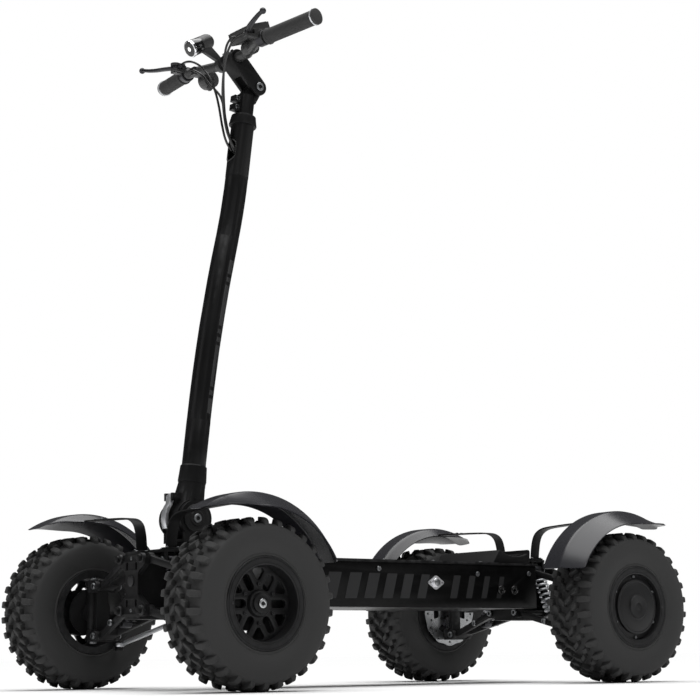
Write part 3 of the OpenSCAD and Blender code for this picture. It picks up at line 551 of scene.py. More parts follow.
    @classmethod
    @cache
    def brushed(cls) -> bpy.types.NodeTree:
        """Height of fine brush lines that run along X: noise stretched to threads."""
        tree, i, o = cls._group(
            "brush_lines", [("Scale", "NodeSocketFloat", 900.0)],
            [("Height", "NodeSocketFloat")])
        n, link = tree.nodes, tree.links.new
        kinds = ("ShaderNodeTexCoord", "ShaderNodeMapping", "ShaderNodeTexNoise")
        co, stretch, tex = (n.new(kind) for kind in kinds)
        stretch.inputs["Scale"].default_value = (0.03, 1.0, 1.0)
        link(co.outputs["Object"], stretch.inputs["Vector"])
        link(stretch.outputs["Vector"], tex.inputs["Vector"])
        link(i.outputs["Scale"], tex.inputs["Scale"])
        link(tex.outputs["Fac"], o.inputs["Height"])
        return tree


@dataclass(frozen=True)
class Finish:
    """One surface finish: colours, gloss, grain, wear and dust."""

    name: str
    dark: tuple
    light: tuple
    rough: tuple = (0.45, 0.6)
    metallic: float = 0.0
    specular: float = 0.5
    coat: float = 0.0
    coat_rough: float = 0.2
    fine_scale: float = 900.0
    cloud_scale: float = 9.0
    bump: float = 0.05
    bump_depth: float = 0.0004
    wear: float = 0.0
    wear_colour: tuple = (0.35, 0.35, 0.36)
    dust: float = 0.0
    dust_colour: tuple = (0.05, 0.047, 0.043)
    glow: float = 0.0
    brushed: bool = False

    def material(self) -> bpy.types.Material:
        """Builds the material once and returns it."""
        ready = bpy.data.materials.get(self.name)
        if ready:
            return ready
        mat = bpy.data.materials.new(self.name)
        mat.use_nodes = True
        mat.diffuse_color = (*self.light, 1.0)
        n, link = mat.node_tree.nodes, mat.node_tree.links.new
        shader = n["Principled BSDF"]
        shader.inputs["Metallic"].default_value = self.metallic
        shader.inputs["Specular IOR Level"].default_value = self.specular
        shader.inputs["Coat Weight"].default_value = self.coat
        shader.inputs["Coat Roughness"].default_value = self.coat_rough
        grain = n.new("ShaderNodeGroup")
        grain.node_tree = Effects.grain()
        for label, value in (("Dark", (*self.dark, 1)), ("Light", (*self.light, 1)),
                             ("Rough low", self.rough[0]), ("Rough high", self.rough[1]),
                             ("Fine scale", self.fine_scale), ("Cloud scale", self.cloud_scale)):
            grain.inputs[label].default_value = value
        colour = grain.outputs["Color"]
        for amount, tint, tree in ((self.wear, self.wear_colour, Effects.edge_wear),
                                   (self.dust, self.dust_colour, Effects.dust)):
            if amount <= 0:
                continue
            mask = n.new("ShaderNodeGroup")
            mask.node_tree = tree()
            mask.inputs["Amount"].default_value = amount
            mix = n.new("ShaderNodeMix")
            mix.data_type = "RGBA"
            link(mask.outputs["Mask"], mix.inputs["Factor"])
            link(colour, mix.inputs["A"])
            mix.inputs["B"].default_value = (*tint, 1)
            colour = mix.outputs["Result"]
        link(colour, shader.inputs["Base Color"])
        link(grain.outputs["Roughness"], shader.inputs["Roughness"])
        bump = n.new("ShaderNodeBump")
        bump.inputs["Strength"].default_value = self.bump
        bump.inputs["Distance"].default_value = self.bump_depth
        height = grain.outputs["Height"]
        if self.brushed:
            lines = n.new("ShaderNodeGroup")
            lines.node_tree = Effects.brushed()
            height = lines.outputs["Height"]
        link(height, bump.inputs["Height"])
        link(bump.outputs["Normal"], shader.inputs["Normal"])
        if self.glow > 0:
            shader.inputs["Emission Strength"].default_value = self.glow
            shader.inputs["Emission Color"].default_value = (*self.light, 1)
        return mat


TYRE = Finish("tyre_rubber", (0.0037, 0.0037, 0.0039), (0.0069, 0.0069, 0.0072), (0.72, 0.88), specular=0.03,
              fine_scale=1400, cloud_scale=14, bump=0.25, bump_depth=0.0005, dust=0.03)
RIM = Finish("rim_coat", (0.0070, 0.0070, 0.0073), (0.0119, 0.0119, 0.0126), (0.42, 0.52), specular=0.25,
             coat=0.04, fine_scale=1800, bump=0.10, wear=0.10, dust=0.03)
FRAME_COAT = Finish("frame_coat", (0.0044, 0.0044, 0.0047), (0.0082, 0.0082, 0.0085), (0.42, 0.56),
                    specular=0.16, fine_scale=1600, bump=0.12, wear=0.08, dust=0.03)
ARM_COAT = Finish("arm_coat", (0.0067, 0.0067, 0.0071), (0.0128, 0.0128, 0.0131), (0.40, 0.54), specular=0.2,
                  fine_scale=1500, bump=0.14, wear=0.10, dust=0.03)
FENDER = Finish("fender_plastic", (0.0058, 0.0058, 0.0062), (0.0086, 0.0086, 0.0091), (0.30, 0.40),
                specular=0.5, coat=0.30, coat_rough=0.24, fine_scale=2200, bump=0.05, dust=0.03)
DECK_SATIN = Finish("stem_satin", (0.0032, 0.0032, 0.0034), (0.0056, 0.0056, 0.0060), (0.34, 0.44), coat=0.04,
                    coat_rough=0.3, specular=0.2, bump=0.05, wear=0.05, fine_scale=2200)
DECK = Finish("deck_coat", (0.0014, 0.0014, 0.0014), (0.0024, 0.0024, 0.0026), (0.34, 0.46), specular=0.12,
              bump=0.06, wear=0.02, fine_scale=1700)
STRIPE = Finish("stripe_print", (0.0168, 0.0168, 0.0175), (0.0229, 0.0229, 0.0238), (0.55, 0.65),
                specular=0.3, fine_scale=2000)
GRIT = Finish("grip_mat", (0.0040, 0.0040, 0.0040), (0.0200, 0.0200, 0.0205), (0.85, 0.98), specular=0.25,
              fine_scale=2600, cloud_scale=600, bump=0.9, bump_depth=0.0009, dust=0.12)
PAD = Finish("pad_rubber", (0.0080, 0.0080, 0.0085), (0.0150, 0.0150, 0.0155), (0.60, 0.75), specular=0.15,
             bump=0.3, fine_scale=1300, dust=0.1)
STEEL = Finish("bright_steel", (0.48, 0.49, 0.50), (0.66, 0.67, 0.69), (0.18, 0.34), metallic=1.0, bump=0.06,
               cloud_scale=40, brushed=True)
SPRING = Finish("spring_steel", (0.34, 0.35, 0.36), (0.52, 0.53, 0.55), (0.20, 0.34), metallic=1.0, bump=0.05,
                cloud_scale=60)
BOLT = Finish("bolt_zinc", (0.1820, 0.1890, 0.1960), (0.3080, 0.3150, 0.3220), (0.28, 0.42), metallic=1.0,
              bump=0.05, cloud_scale=80)
DARK_BOLT = Finish("bolt_black", (0.0210, 0.0210, 0.0217), (0.0385, 0.0385, 0.0399), (0.35, 0.5),
                   metallic=0.6, cloud_scale=80)
ALUMINIUM = Finish("port_aluminium", (0.70, 0.71, 0.72), (0.86, 0.87, 0.88), (0.22, 0.34), metallic=0.85,
                   bump=0.05, cloud_scale=50, brushed=True)
CHROME = Finish("lamp_chrome", (0.78, 0.78, 0.80), (0.90, 0.90, 0.91), (0.06, 0.12), metallic=1.0,
                cloud_scale=30)
LENS = Finish("lamp_lens", (0.93, 0.93, 0.93), (0.99, 0.99, 0.98), (0.10, 0.16), coat=0.8, coat_rough=0.04,
              cloud_scale=60, glow=0.6)
GRIP = Finish("grip_rubber", (0.0088, 0.0088, 0.0092), (0.0144, 0.0144, 0.0148), (0.62, 0.78), specular=0.15,
              fine_scale=1600, bump=0.3, dust=0.05)
GLOSS = Finish("gloss_black", (0.0040, 0.0040, 0.0045), (0.0065, 0.0065, 0.0070), (0.12, 0.20), coat=0.6,
               coat_rough=0.08, cloud_scale=20)
CABLE = Finish("cable_jacket", (0.0040, 0.0040, 0.0040), (0.0070, 0.0070, 0.0070), (0.24, 0.34), coat=0.4,
               coat_rough=0.15, fine_scale=1800)
CONTROL = Finish("control_plastic", (0.0049, 0.0049, 0.0052), (0.0086, 0.0086, 0.0092), (0.20, 0.32),
                 specular=0.4, coat=0.3, coat_rough=0.15, fine_scale=2000, bump=0.08)
LEVER = Finish("lever_black", (0.0098, 0.0098, 0.0105), (0.0175, 0.0175, 0.0185), (0.20, 0.30), metallic=0.3,
               coat=0.4, bump=0.04, wear=0.12)
REFLECTOR = Finish("red_reflector", (0.30, 0.010, 0.008), (0.42, 0.02, 0.015), (0.12, 0.2), coat=0.8,
                   coat_rough=0.05)
REFLECT_STRIP = Finish("strip_dark", (0.0200, 0.0200, 0.0210), (0.0300, 0.0300, 0.0310), (0.30, 0.42),
                       coat=0.2)
SCREEN = Finish("display_glass", (0.004, 0.005, 0.006), (0.010, 0.011, 0.013), (0.05, 0.09), coat=1.0,
                coat_rough=0.03)
ROTOR = Finish("rotor_steel", (0.42, 0.43, 0.44), (0.60, 0.61, 0.62), (0.22, 0.36), metallic=1.0, bump=0.08,
               cloud_scale=50, brushed=True)
BATTERY = Finish("battery_wrap", (0.0200, 0.0500, 0.1400), (0.0300, 0.0700, 0.1800), (0.4, 0.5), bump=0.1)


def plate(outlines: list, origin: tuple, u: tuple, v: tuple, depth: float, round_edge: float = 0.0) -> tuple:
    """Flat plate with holes, centred on the plane of u and v through the origin.

    Args:
        outlines: The outside outline, then one outline for each hole.
        origin: Where the outlines' (0, 0) stands.
        u: Direction of the outlines' first axis.
        v: Direction of the outlines' second axis.
        depth: Thickness.
        round_edge: Width of the rounding along every edge.

    Returns:
        Vertices and faces.
    """
    curve = bpy.data.curves.new("plate", "CURVE")
    curve.dimensions, curve.fill_mode = "2D", "BOTH"
    curve.extrude, curve.bevel_depth = depth / 2 - round_edge, round_edge
    curve.bevel_resolution, curve.offset = 1, -round_edge
    for outline in outlines:
        spline = curve.splines.new("POLY")
        spline.points.add(len(outline) - 1)
        o = np.asarray(outline, float)
        spline.points.foreach_set("co", np.column_stack([o, np.zeros(len(o)), np.ones(len(o))]).ravel())
        spline.use_cyclic_u = True
    holder = bpy.data.objects.new("plate", curve)
    bpy.context.scene.collection.objects.link(holder)
    graph = bpy.context.evaluated_depsgraph_get()
    mesh = bpy.data.meshes.new_from_object(holder.evaluated_get(graph))
    co = np.zeros(len(mesh.vertices) * 3)
    mesh.vertices.foreach_get("co", co)
    faces = [list(p.vertices) for p in mesh.polygons]
    bpy.data.objects.remove(holder)
    bpy.data.curves.remove(curve)
    bpy.data.meshes.remove(mesh)
    co = co.reshape(-1, 3)
    a, b = np.asarray(u, float), np.asarray(v, float)
    across = np.cross(a, b)
    return np.asarray(origin, float) + co[:, :1] * a + co[:, 1:2] * b + co[:, 2:] * across, faces


def polar(radius: np.ndarray, angle: np.ndarray) -> np.ndarray:
    """Points at a radius and an angle in degrees."""
    a = np.radians(angle)
    return np.stack([radius * np.cos(a), radius * np.sin(a)], axis=-1)


def spun(outline: np.ndarray, degrees: float) -> np.ndarray:
    """Outline turned about the origin."""
    c, s = math.cos(math.radians(degrees)), math.sin(math.radians(degrees))
    return outline @ np.array([[c, s], [-s, c]])


def rounded(outline: list, radius: float, steps: int = 4) -> np.ndarray:
    """Outline with each corner replaced by a quadratic curve that starts a set distance before it."""
    p = np.asarray(outline, float)
    before, after = np.roll(p, 1, axis=0) - p, np.roll(p, -1, axis=0) - p
    lb, la = np.linalg.norm(before, axis=1), np.linalg.norm(after, axis=1)
    a = p + before / lb[:, None] * np.minimum(radius, lb * 0.45)[:, None]
    b = p + after / la[:, None] * np.minimum(radius, la * 0.45)[:, None]
    t = np.linspace(0, 1, steps + 1)[None, :, None]
    return ((1 - t) ** 2 * a[:, None] + 2 * t * (1 - t) * p[:, None] + t**2 * b[:, None]).reshape(-1, 2)


def placed(corner: Corner, parts: list) -> tuple:
    """Joins parts drawn at the front left and mirrors them to a corner."""
    verts, faces = joined(parts)
    return corner.place(verts), faces


# ---------------------------------------------------------------------------------------------
# Wheels

# Axle line and middle plane of the front left wheel; the other corners mirror it
AXLE_X, AXLE_Z, MID_Y = 500.0, 165.0, 328.0
# Distances from the board's middle plane to the rim's two lips
LIP_OUT, LIP_IN = 392.0, 264.0


@dataclass
class Tyre:
    """Block-tread tyre of one corner."""

    corner: Corner
    pitches: int = 30
    depth: float = 10.5
    root: float = 3.0
    roll_radius: float = 160.0
    flare: float = 0.8
    shoulder: float = 0.4
    chamfer: float = 1.5
    chamfer_drop: float = 1.2

    def crown(self, y: np.ndarray) -> np.ndarray:
        """Radius of the block tops at a distance from the middle plane."""
        return np.interp(np.abs(y), [0, 34, 43, 54, 60, 64], [165, 165, 164.6, 162.0, 159.0, 155.4])

    def carcass(self) -> tuple:
        """Closed ring of casing and sidewalls with a bead rib and a shoulder rib."""
        half = [(82, 56), (89.5, 61.6), (91.5, 63.6), (93.6, 63.2), (95.2, 62.2), (104, 66.0), (112, 68.4),
                (120, 69.7), (128, 69.6), (136, 68.6), (141.5, 67.2), (146.5, 65), (149.6, 61.5), (151.8, 56),
                (153, 48), (153.8, 36), (154, 15), (154, 0)]
        profile = [(r, -y) for r, y in half] + [(r, y) for r, y in reversed(half[:-1])]
        return revolve(profile, (AXLE_X, MID_Y, AXLE_Z), "y", 180)

    def blocks(self, rows: list, phase: float) -> tuple:
        """One block of the tread, repeated at every pitch.

        A row is (distance from the middle plane, start and end along the tread, drop of the top). The
        block's section at a row is a trapezium with chamfered shoulders; rows are lofted across.

        Args:
            rows: The rows of one block.
            phase: Share of a pitch by which the block is moved on.

        Returns:
            Vertices and faces of all the blocks.
        """
        r = np.asarray(rows, float)
        y, s0, s1, drop = r.T
        top = self.crown(y) - drop
        base = self.crown(y) - self.depth - self.root
        s = np.stack([s0 - self.flare, s0 + self.shoulder, s0 + self.chamfer, s1 - self.chamfer,
                      s1 - self.shoulder, s1 + self.flare], axis=1)
        low = top - self.chamfer_drop
        rad = np.stack([base, low, top, top, low, base], axis=1)
        turn = (np.arange(self.pitches) + phase) * TAU / self.pitches
        angle = turn[:, None, None] + s[None] / self.roll_radius
        verts = np.stack([AXLE_X + rad * np.sin(angle),
                          np.broadcast_to(MID_Y + y[None, :, None], angle.shape),
                          AXLE_Z - rad * np.cos(angle)], axis=-1)
        k = len(rows)
        one = grid_faces(k, 6, False, True).tolist() + [list(range(5, -1, -1)),
                                                        list(range((k - 1) * 6, k * 6))]
        faces = [[n + p * k * 6 for n in f] for p in range(self.pitches) for f in one]
        return verts.reshape(-1, 3), faces

    def tread(self) -> list:
        """Chevron blocks in the middle, side blocks between them and lugs over the shoulders."""
        parts = []
        for side in (-1, 1):
            centre = [(1.0, 2.0, 13.0, 1.2), (2.0, 1.6, 12.6, 0), (9, -3.0, 8.2, 0), (16.0, -8.4, 2.6, 0),
                      (17.2, -9.2, 1.6, 1.2)]
            middle = [(20.0, -1.6, 9.4, 1.2), (21.0, -2.0, 9.2, 0), (27, -4.8, 7.2, 0), (33.4, -7.2, 4.6, 0),
                      (34.6, -7.6, 3.8, 1.2)]
            shoulder = [(38.0, -3.4, 6.4, 1.2), (39.0, -4.0, 6.8, 0), (45, -6.4, 7.2, 0), (51, -7.2, 7.0, 0),
                        (55, -7.2, 6.8, 0), (59, -6.8, 6.4, 0), (62.6, -6.2, 5.8, 0.4), (64, -5.8, 5.4, 2.0)]
            for rows, phase in ((centre, 0.0 if side > 0 else 0.12), (middle, 0.47 if side > 0 else 0.59),
                                (shoulder, 0.02 if side > 0 else 0.14)):
                parts.append(self.blocks([(side * y, a, b, d) for y, a, b, d in rows], phase))
        return parts

    def make(self) -> None:
        """Builds the tyre, which stands for the CAD tyre."""
        tag = self.corner.tag
        add(f"knobby_tyre_{tag}", [placed(self.corner, [self.carcass(), *self.tread()])], f"wheel_{tag}",
            TYRE, "tyre_rubber", f"tyre_{tag}", split=32)


@dataclass
class Rim:
    """Wheel inside one tyre: a windowed web in front, a motor hub at the rear."""

    corner: Corner

    def ring(self, profile: list, steps: int = 128) -> tuple:
        """Closed ring about the axle; profile points are (radius, distance outward)."""
        return revolve(profile, (AXLE_X, 0, AXLE_Z), "y", steps)

    def barrel(self) -> list:
        """Barrel with two lips; the outer lip has two fine grooves."""
        o = LIP_OUT
        return [self.ring([(89.4, 264.6), (88.8, 264), (75, 264), (74, 265), (72.5, 300), (71.8, 350),
                           (72, o - 4), (72.8, o - 1.2), (74, o - 0.6), (75.4, o - 0.6), (75.8, o - 1.2),
                           (76.6, o - 1.2), (77, o - 0.5), (84.8, o - 0.2), (85.2, o - 1.0), (86.0, o - 1.0),
                           (86.4, o - 0.2), (88.2, o - 0.2), (89.3, o - 1.2), (89.4, o - 3), (82, o - 6),
                           (82, 270), (89.4, 267)])]

    def screws(self, radius: float, at: float, size: float, count: int = 6, turn: float = 0.0) -> list:
        """Socket screws on a circle about the axle, facing outward."""
        spots = polar(np.full(count, radius), turn + np.arange(count) * 360.0 / count)
        return [hex_bolt((AXLE_X + x, at, AXLE_Z + z), (0, 1, 0), size, size * 0.9) for x, z in spots]

    def front_web(self) -> list:
        """Web disc with six long and six short windows, and the hub bulge in its middle."""
        angles = np.arange(72) * 5.0
        outlines = [polar(np.full(72, 73.0), angles)]
        long_window = rounded([(29, -4), (34, -8), (58, -8), (63, -4), (63, 4), (58, 8), (34, 8), (29, 4)], 2)
        short_window = rounded([(45, -3), (62, -13.5), (67.5, -9.5), (67.5, 9.5), (62, 13.5), (45, 3)], 2.2)
        for k in range(6):
            outlines += [spun(long_window, 60.0 * k), spun(short_window, 60.0 * k + 30)]
        web = plate(outlines, (AXLE_X, 359.5, AXLE_Z), (1, 0, 0), (0, 0, 1), 9.0, 1.2)
        bulge = self.ring([(10.3, 318), (50, 318), (50, 336), (27.5, 344), (26.5, 363), (26, 366.5),
                           (25.2, 368), (24.6, 371), (23.6, 372), (10.3, 372)], 72)
        return [web, bulge]

    def rear_hub(self) -> list:
        """Motor hub face: a recess with screws, a cover disc and a round boss."""
        o = LIP_OUT
        return [self.ring([(8, 276), (70, 276), (74, 282), (74, o - 13), (72.5, o - 12.4), (61, o - 12),
                           (59.6, o - 11), (59.6, o - 4.2), (58.2, o - 3), (55, o - 2.4), (54, o - 2.9),
                           (53, o - 2.3), (30, o - 1.6), (27.4, o - 1.4), (26.4, o - 0.6), (26, o + 1.8),
                           (24.8, o + 2.9), (11, o + 2.9), (9, o + 2.2), (8, o + 0.5)], 96)]

    def rotor(self) -> tuple:
        """Wavy brake disc with drilled holes and six slots."""
        a = np.arange(0, 360, 2.5)
        outlines = [polar(77.2 + 1.6 * np.cos(np.radians(12 * a)), a)]
        slot = rounded([(34, -9), (50, -13), (50, 13), (34, 9)], 4)
        outlines += [spun(slot, 60 * k) for k in range(6)]
        for k in range(24):
            spot = polar(np.array([60.0 if k % 2 else 69.0]), np.array([15.0 * k]))[0]
            outlines.append(circle(2.9, 12) + spot)
        return plate(outlines, (AXLE_X, 253.5, AXLE_Z), (1, 0, 0), (0, 0, 1), 3.0, 0.3)

    def make(self) -> None:
        """Builds the rim, which stands for the CAD wheel."""
        tag, body = self.corner.tag, f"wheel_{self.corner.tag}"
        front = self.corner.end > 0
        metal = self.barrel() + (self.front_web() if front else self.rear_hub())
        if not front:
            metal.append(self.ring([(14, 255), (30, 255), (33, 258), (33, 278), (14, 278)], 48))
        add(f"rim_{tag}", [placed(self.corner, metal)], body, RIM, "rim_black", f"wheel_{tag}", split=40)
        screws = self.screws(37, 364.5, 3.6, turn=30) if front else self.screws(66.5, LIP_OUT - 12.3, 3.2,
                                                                                turn=30)
        add(f"rim_screws_{tag}", [placed(self.corner, screws)], body, DARK_BOLT if front else BOLT,
            "rim_black", smooth=False)
        if not front:
            add(f"rotor_{tag}", [placed(self.corner, [self.rotor()])], body, ROTOR, "bright_steel",
                smooth=False)
        valve = turned([(0, 2.2), (0.55, 2.2), (0.56, 2.8), (0.98, 2.8), (1, 1.6)],
                       (AXLE_X + 79, LIP_OUT - 8, AXLE_Z), (AXLE_X + 76, LIP_OUT + 0.2, AXLE_Z), 14)
        add(f"valve_{tag}", [placed(self.corner, [valve])], body, DARK_BOLT, "rim_black")


# ---------------------------------------------------------------------------------------------
# Fenders

# Plane across the board in which the dampers and the fender straps stand
STRUT_X = 505

@dataclass
class Fender:
    """Moulded cover over one wheel with its strap to the chassis."""

    corner: Corner
    start: float = 58.0
    stop: float = 157.0
    thick: float = 3.2

    def shell(self) -> tuple:
        """Arched shell with round shoulders.

        A point of the shell is (theta, s): theta runs over the wheel from the front tip to the rear end
        and s across the cover. The radius and the sideways place come from a rounded U profile; the tip
        is drawn out to a point and the rear end is rounded by moving theta's ends with s.
        """
        u = np.linspace(0, 1, 41)
        bends = np.array([(183.4, 397.2), (185.0, 396.5), (198.0, 375.8), (211.4, 354.0), (213.8, 350.6),
                          (214.9, 345), (215.0, 331), (214.6, 303), (213.6, 298.6), (211.0, 294.2),
                          (203, 286.4), (195.6, 278.9)])
        reach = np.concatenate([[0], np.cumsum(np.linalg.norm(np.diff(bends, axis=0), axis=1))])
        spots = np.interp(u, np.linspace(0, 1, len(bends)), reach)
        outline = np.stack([np.interp(spots, reach, bends[:, i]) for i in (0, 1)], axis=1)
        step = np.gradient(outline, axis=0)
        normal = np.stack([step[:, 1], -step[:, 0]], axis=1)
        normal /= np.linalg.norm(normal, axis=1)[:, None]
        inner = outline + normal * self.thick
        side = np.abs(u - 0.5) * 2
        first = self.start - 2 + 9.0 * side**1.6
        last = self.stop - 7.0 * side**3
        t = np.linspace(0, 1, 73)[:, None]
        theta = np.radians(first + t * (last - first))
        # The skirts grow from nothing at the tip to full depth
        grow = 0.3 + 0.7 * np.sin(np.minimum(t / 0.3, 1.0) * math.pi / 2)

        def lay(profile: np.ndarray) -> np.ndarray:
            """Carries the (radius, sideways) profile round the wheel."""
            radius = 215.0 - (215.0 - profile[None, :, 0]) * grow
            y = np.broadcast_to(profile[None, :, 1], theta.shape)
            return np.stack([AXLE_X + radius * np.cos(theta), y, AXLE_Z + radius * np.sin(theta)], axis=-1)

        loop = np.concatenate([lay(outline), lay(inner)[:, ::-1]], axis=1)
        rows, cols = loop.shape[:2]
        faces = grid_faces(rows, cols, False, True).tolist()
        n = len(u)
        ends = [[j, cols - 1 - j, cols - 2 - j, j + 1] for j in range(n - 1)]
        shift = (rows - 1) * cols
        faces += ends + [[shift + k for k in reversed(f)] for f in ends]
        return loop.reshape(-1, 3), faces

    def strap(self) -> list:
        """Flat strap from the chassis top out to the cover's inner skirt, folded at both ends."""
        bends = ((57.5, 284.5), (59, 300), (63, 322), (71, 340), (86, 351), (108, 356.4), (150, 358.8),
                 (200, 360.4), (281, 362.4))
        path = smooth_path([(STRUT_X, y, z) for y, z in bends], 60)
        return [sweep(path, rounded_rect(3.2, 26, 1.2), up=(1.0, 0.0, 0.0)),
                box((486, 50, 284.2), (524, 66, 287.2))]

    def make(self) -> None:
        """Builds the cover and the strap, which stand for the CAD fenders."""
        tag = self.corner.tag
        node = "front_fenders" if self.corner.end > 0 else "rear_fenders"
        add(f"fender_cover_{tag}", [placed(self.corner, [self.shell()])], "chassis", FENDER, "fender_plastic",
            node, split=60)
        strap = bevelled(outward(build(f"fender_strap_{tag}", *placed(self.corner, self.strap()))), 0.0004)
        dress(strap, "chassis", FRAME_COAT, "fender_plastic")
        spots = [((STRUT_X + dx, y, z), (0, 0, 1)) for dx in (-7, 7) for y, z in ((214, 361.9), (240, 362.6))]
        spots += [((STRUT_X + dx, 62.6, 286.8), (0, 0, 1)) for dx in (-13, 13)]
        bolts = [hex_bolt(at, d, 3.0, 2.6) for at, d in spots]
        add(f"fender_bolts_{tag}", [placed(self.corner, bolts)], "chassis", BOLT, "bright_steel",
            smooth=False)


# ---------------------------------------------------------------------------------------------
# Suspension and steering

DAMPER_TOP = np.array([STRUT_X, 60.0, 262.0])
DAMPER_LOW = np.array([STRUT_X, 122.0, 139.0])
KINGPIN_Y = 270


@dataclass
class Suspension:
    """Arms, damper, spring and upright of one corner."""

    corner: Corner

    def along_damper(self, distance: float) -> np.ndarray:
        """Point on the damper's axis at a distance below its upper bolt."""
        way = (DAMPER_LOW - DAMPER_TOP) / np.linalg.norm(DAMPER_LOW - DAMPER_TOP)
        return DAMPER_TOP + way * distance

    def spring(self) -> tuple:
        """Round wire wound on the damper.

        The wire's centre at share t is on the axis between the two seats plus the coil radius times
        (cos, sin) of the turn; the turns close up at both ends.
        """
        a, b = self.along_damper(27.4), self.along_damper(112.4)
        way = (b - a) / np.linalg.norm(b - a)
        u = np.array([1.0, 0.0, 0.0])
        v = np.cross(way, u)
        t = np.linspace(0, 1, 260)
        turns, coil_radius, wire_radius, closing = 7.0, 13.9, 2.55, 0.045
        turn = turns * TAU * t
        rise = t - closing * np.sin(TAU * t) / TAU * 2
        path = a + rise[:, None] * (b - a) + coil_radius * (np.cos(turn)[:, None] * u
                                                            + np.sin(turn)[:, None] * v)
        return sweep(path, circle(wire_radius, 12))

    def bolts(self) -> dict:
        """Bright bolts by the part of the linkage that they ride on."""
        p = {}
        ends = [hex_bolt((x, 213, z), (d, 0, 0), 7.2, 4.6) for z in (113, 218)
                for x, d in ((530, 1), (470, -1))]
        if self.corner.end > 0:
            p["carrier"] = ends + [hex_bolt((AXLE_X, KINGPIN_Y, 231.6), (0, 0, 1), 9.5, 6.4),
                                   hex_bolt((AXLE_X, KINGPIN_Y, 101.4), (0, 0, -1), 9.5, 5.0)]
            p["carrier"] += [hex_bolt((x, 239, z), (0, 1, 0), 3.6, 2.8) for x in (493, 507)
                             for z in (140, 190)]
        else:
            p["upright"] = ends + [hex_bolt((x, 239, z), (0, 1, 0), 3.6, 2.8) for x in (493, 507)
                                   for z in (137, 193)]
        p["damper_body"] = [hex_bolt((x, 60, 262), (d, 0, 0), 6.6, 4.2) for x, d in ((526, 1), (484, -1))]
        p["lower_arm"] = [hex_bolt((x, 122, 139), (d, 0, 0), 6.6, 4.0) for x, d in ((541, 1), (469, -1))]
        return p

    def make(self) -> None:
        """Finishes the CAD pieces and adds the spring, the bolts and the rod shine."""
        tag = self.corner.tag
        front = self.corner.end > 0
        for part in ("lower_arm", "upper_arm", "damper_body", "damper_rod") + (
                ("carrier", "knuckle", "rod_end", "tie_rod") if front else ("upright",)):
            finish = STEEL if part == "tie_rod" else (LEVER if part.startswith("damper") else ARM_COAT)
            dress_node(f"{part}_{tag}", finish, 0.0011 if part.endswith("arm") else 0.0008)
        coil = outward(build(f"coil_{tag}", *placed(self.corner, [self.spring()])))
        coil.data.materials.append(SPRING.material())
        top, low = (self.corner.place(self.along_damper(d)) * MM for d in (26.0, 114.0))
        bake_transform(coil)
        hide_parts(f"spring_{tag}")
        for part, heads in self.bolts().items():
            body = "chassis" if part == "damper_body" else f"{part}_{tag}"
            add(f"{part}_bolts_{tag}", [placed(self.corner, heads)], body, BOLT, "bright_steel", smooth=False)
        shaft = turned([(0, 5.2), (1, 5.2)], tuple(self.along_damper(77.4)), tuple(self.along_damper(118)),
                       28)
        add(f"damper_shaft_{tag}", [placed(self.corner, [shaft])], f"damper_rod_{tag}", STEEL, "bright_steel")
        if front:
            nut = [self.axle_nut()]
            add(f"axle_cap_{tag}", [placed(self.corner, nut)], f"knuckle_{tag}", ROTOR, "bright_steel")

    def axle_nut(self) -> tuple:
        """Round cap with a drilled centre over the end of the front axle."""
        return revolve([(4, 369), (14.5, 369), (14.5, 376), (13.4, 377.4), (9.6, 377.8), (8.8, 380.2),
                        (5, 380.6), (4, 379.8)], (AXLE_X, 0, AXLE_Z), "y", 56)


# ---------------------------------------------------------------------------------------------
# Deck and chassis ends

PORT_X, PORT_Z = -140, 223


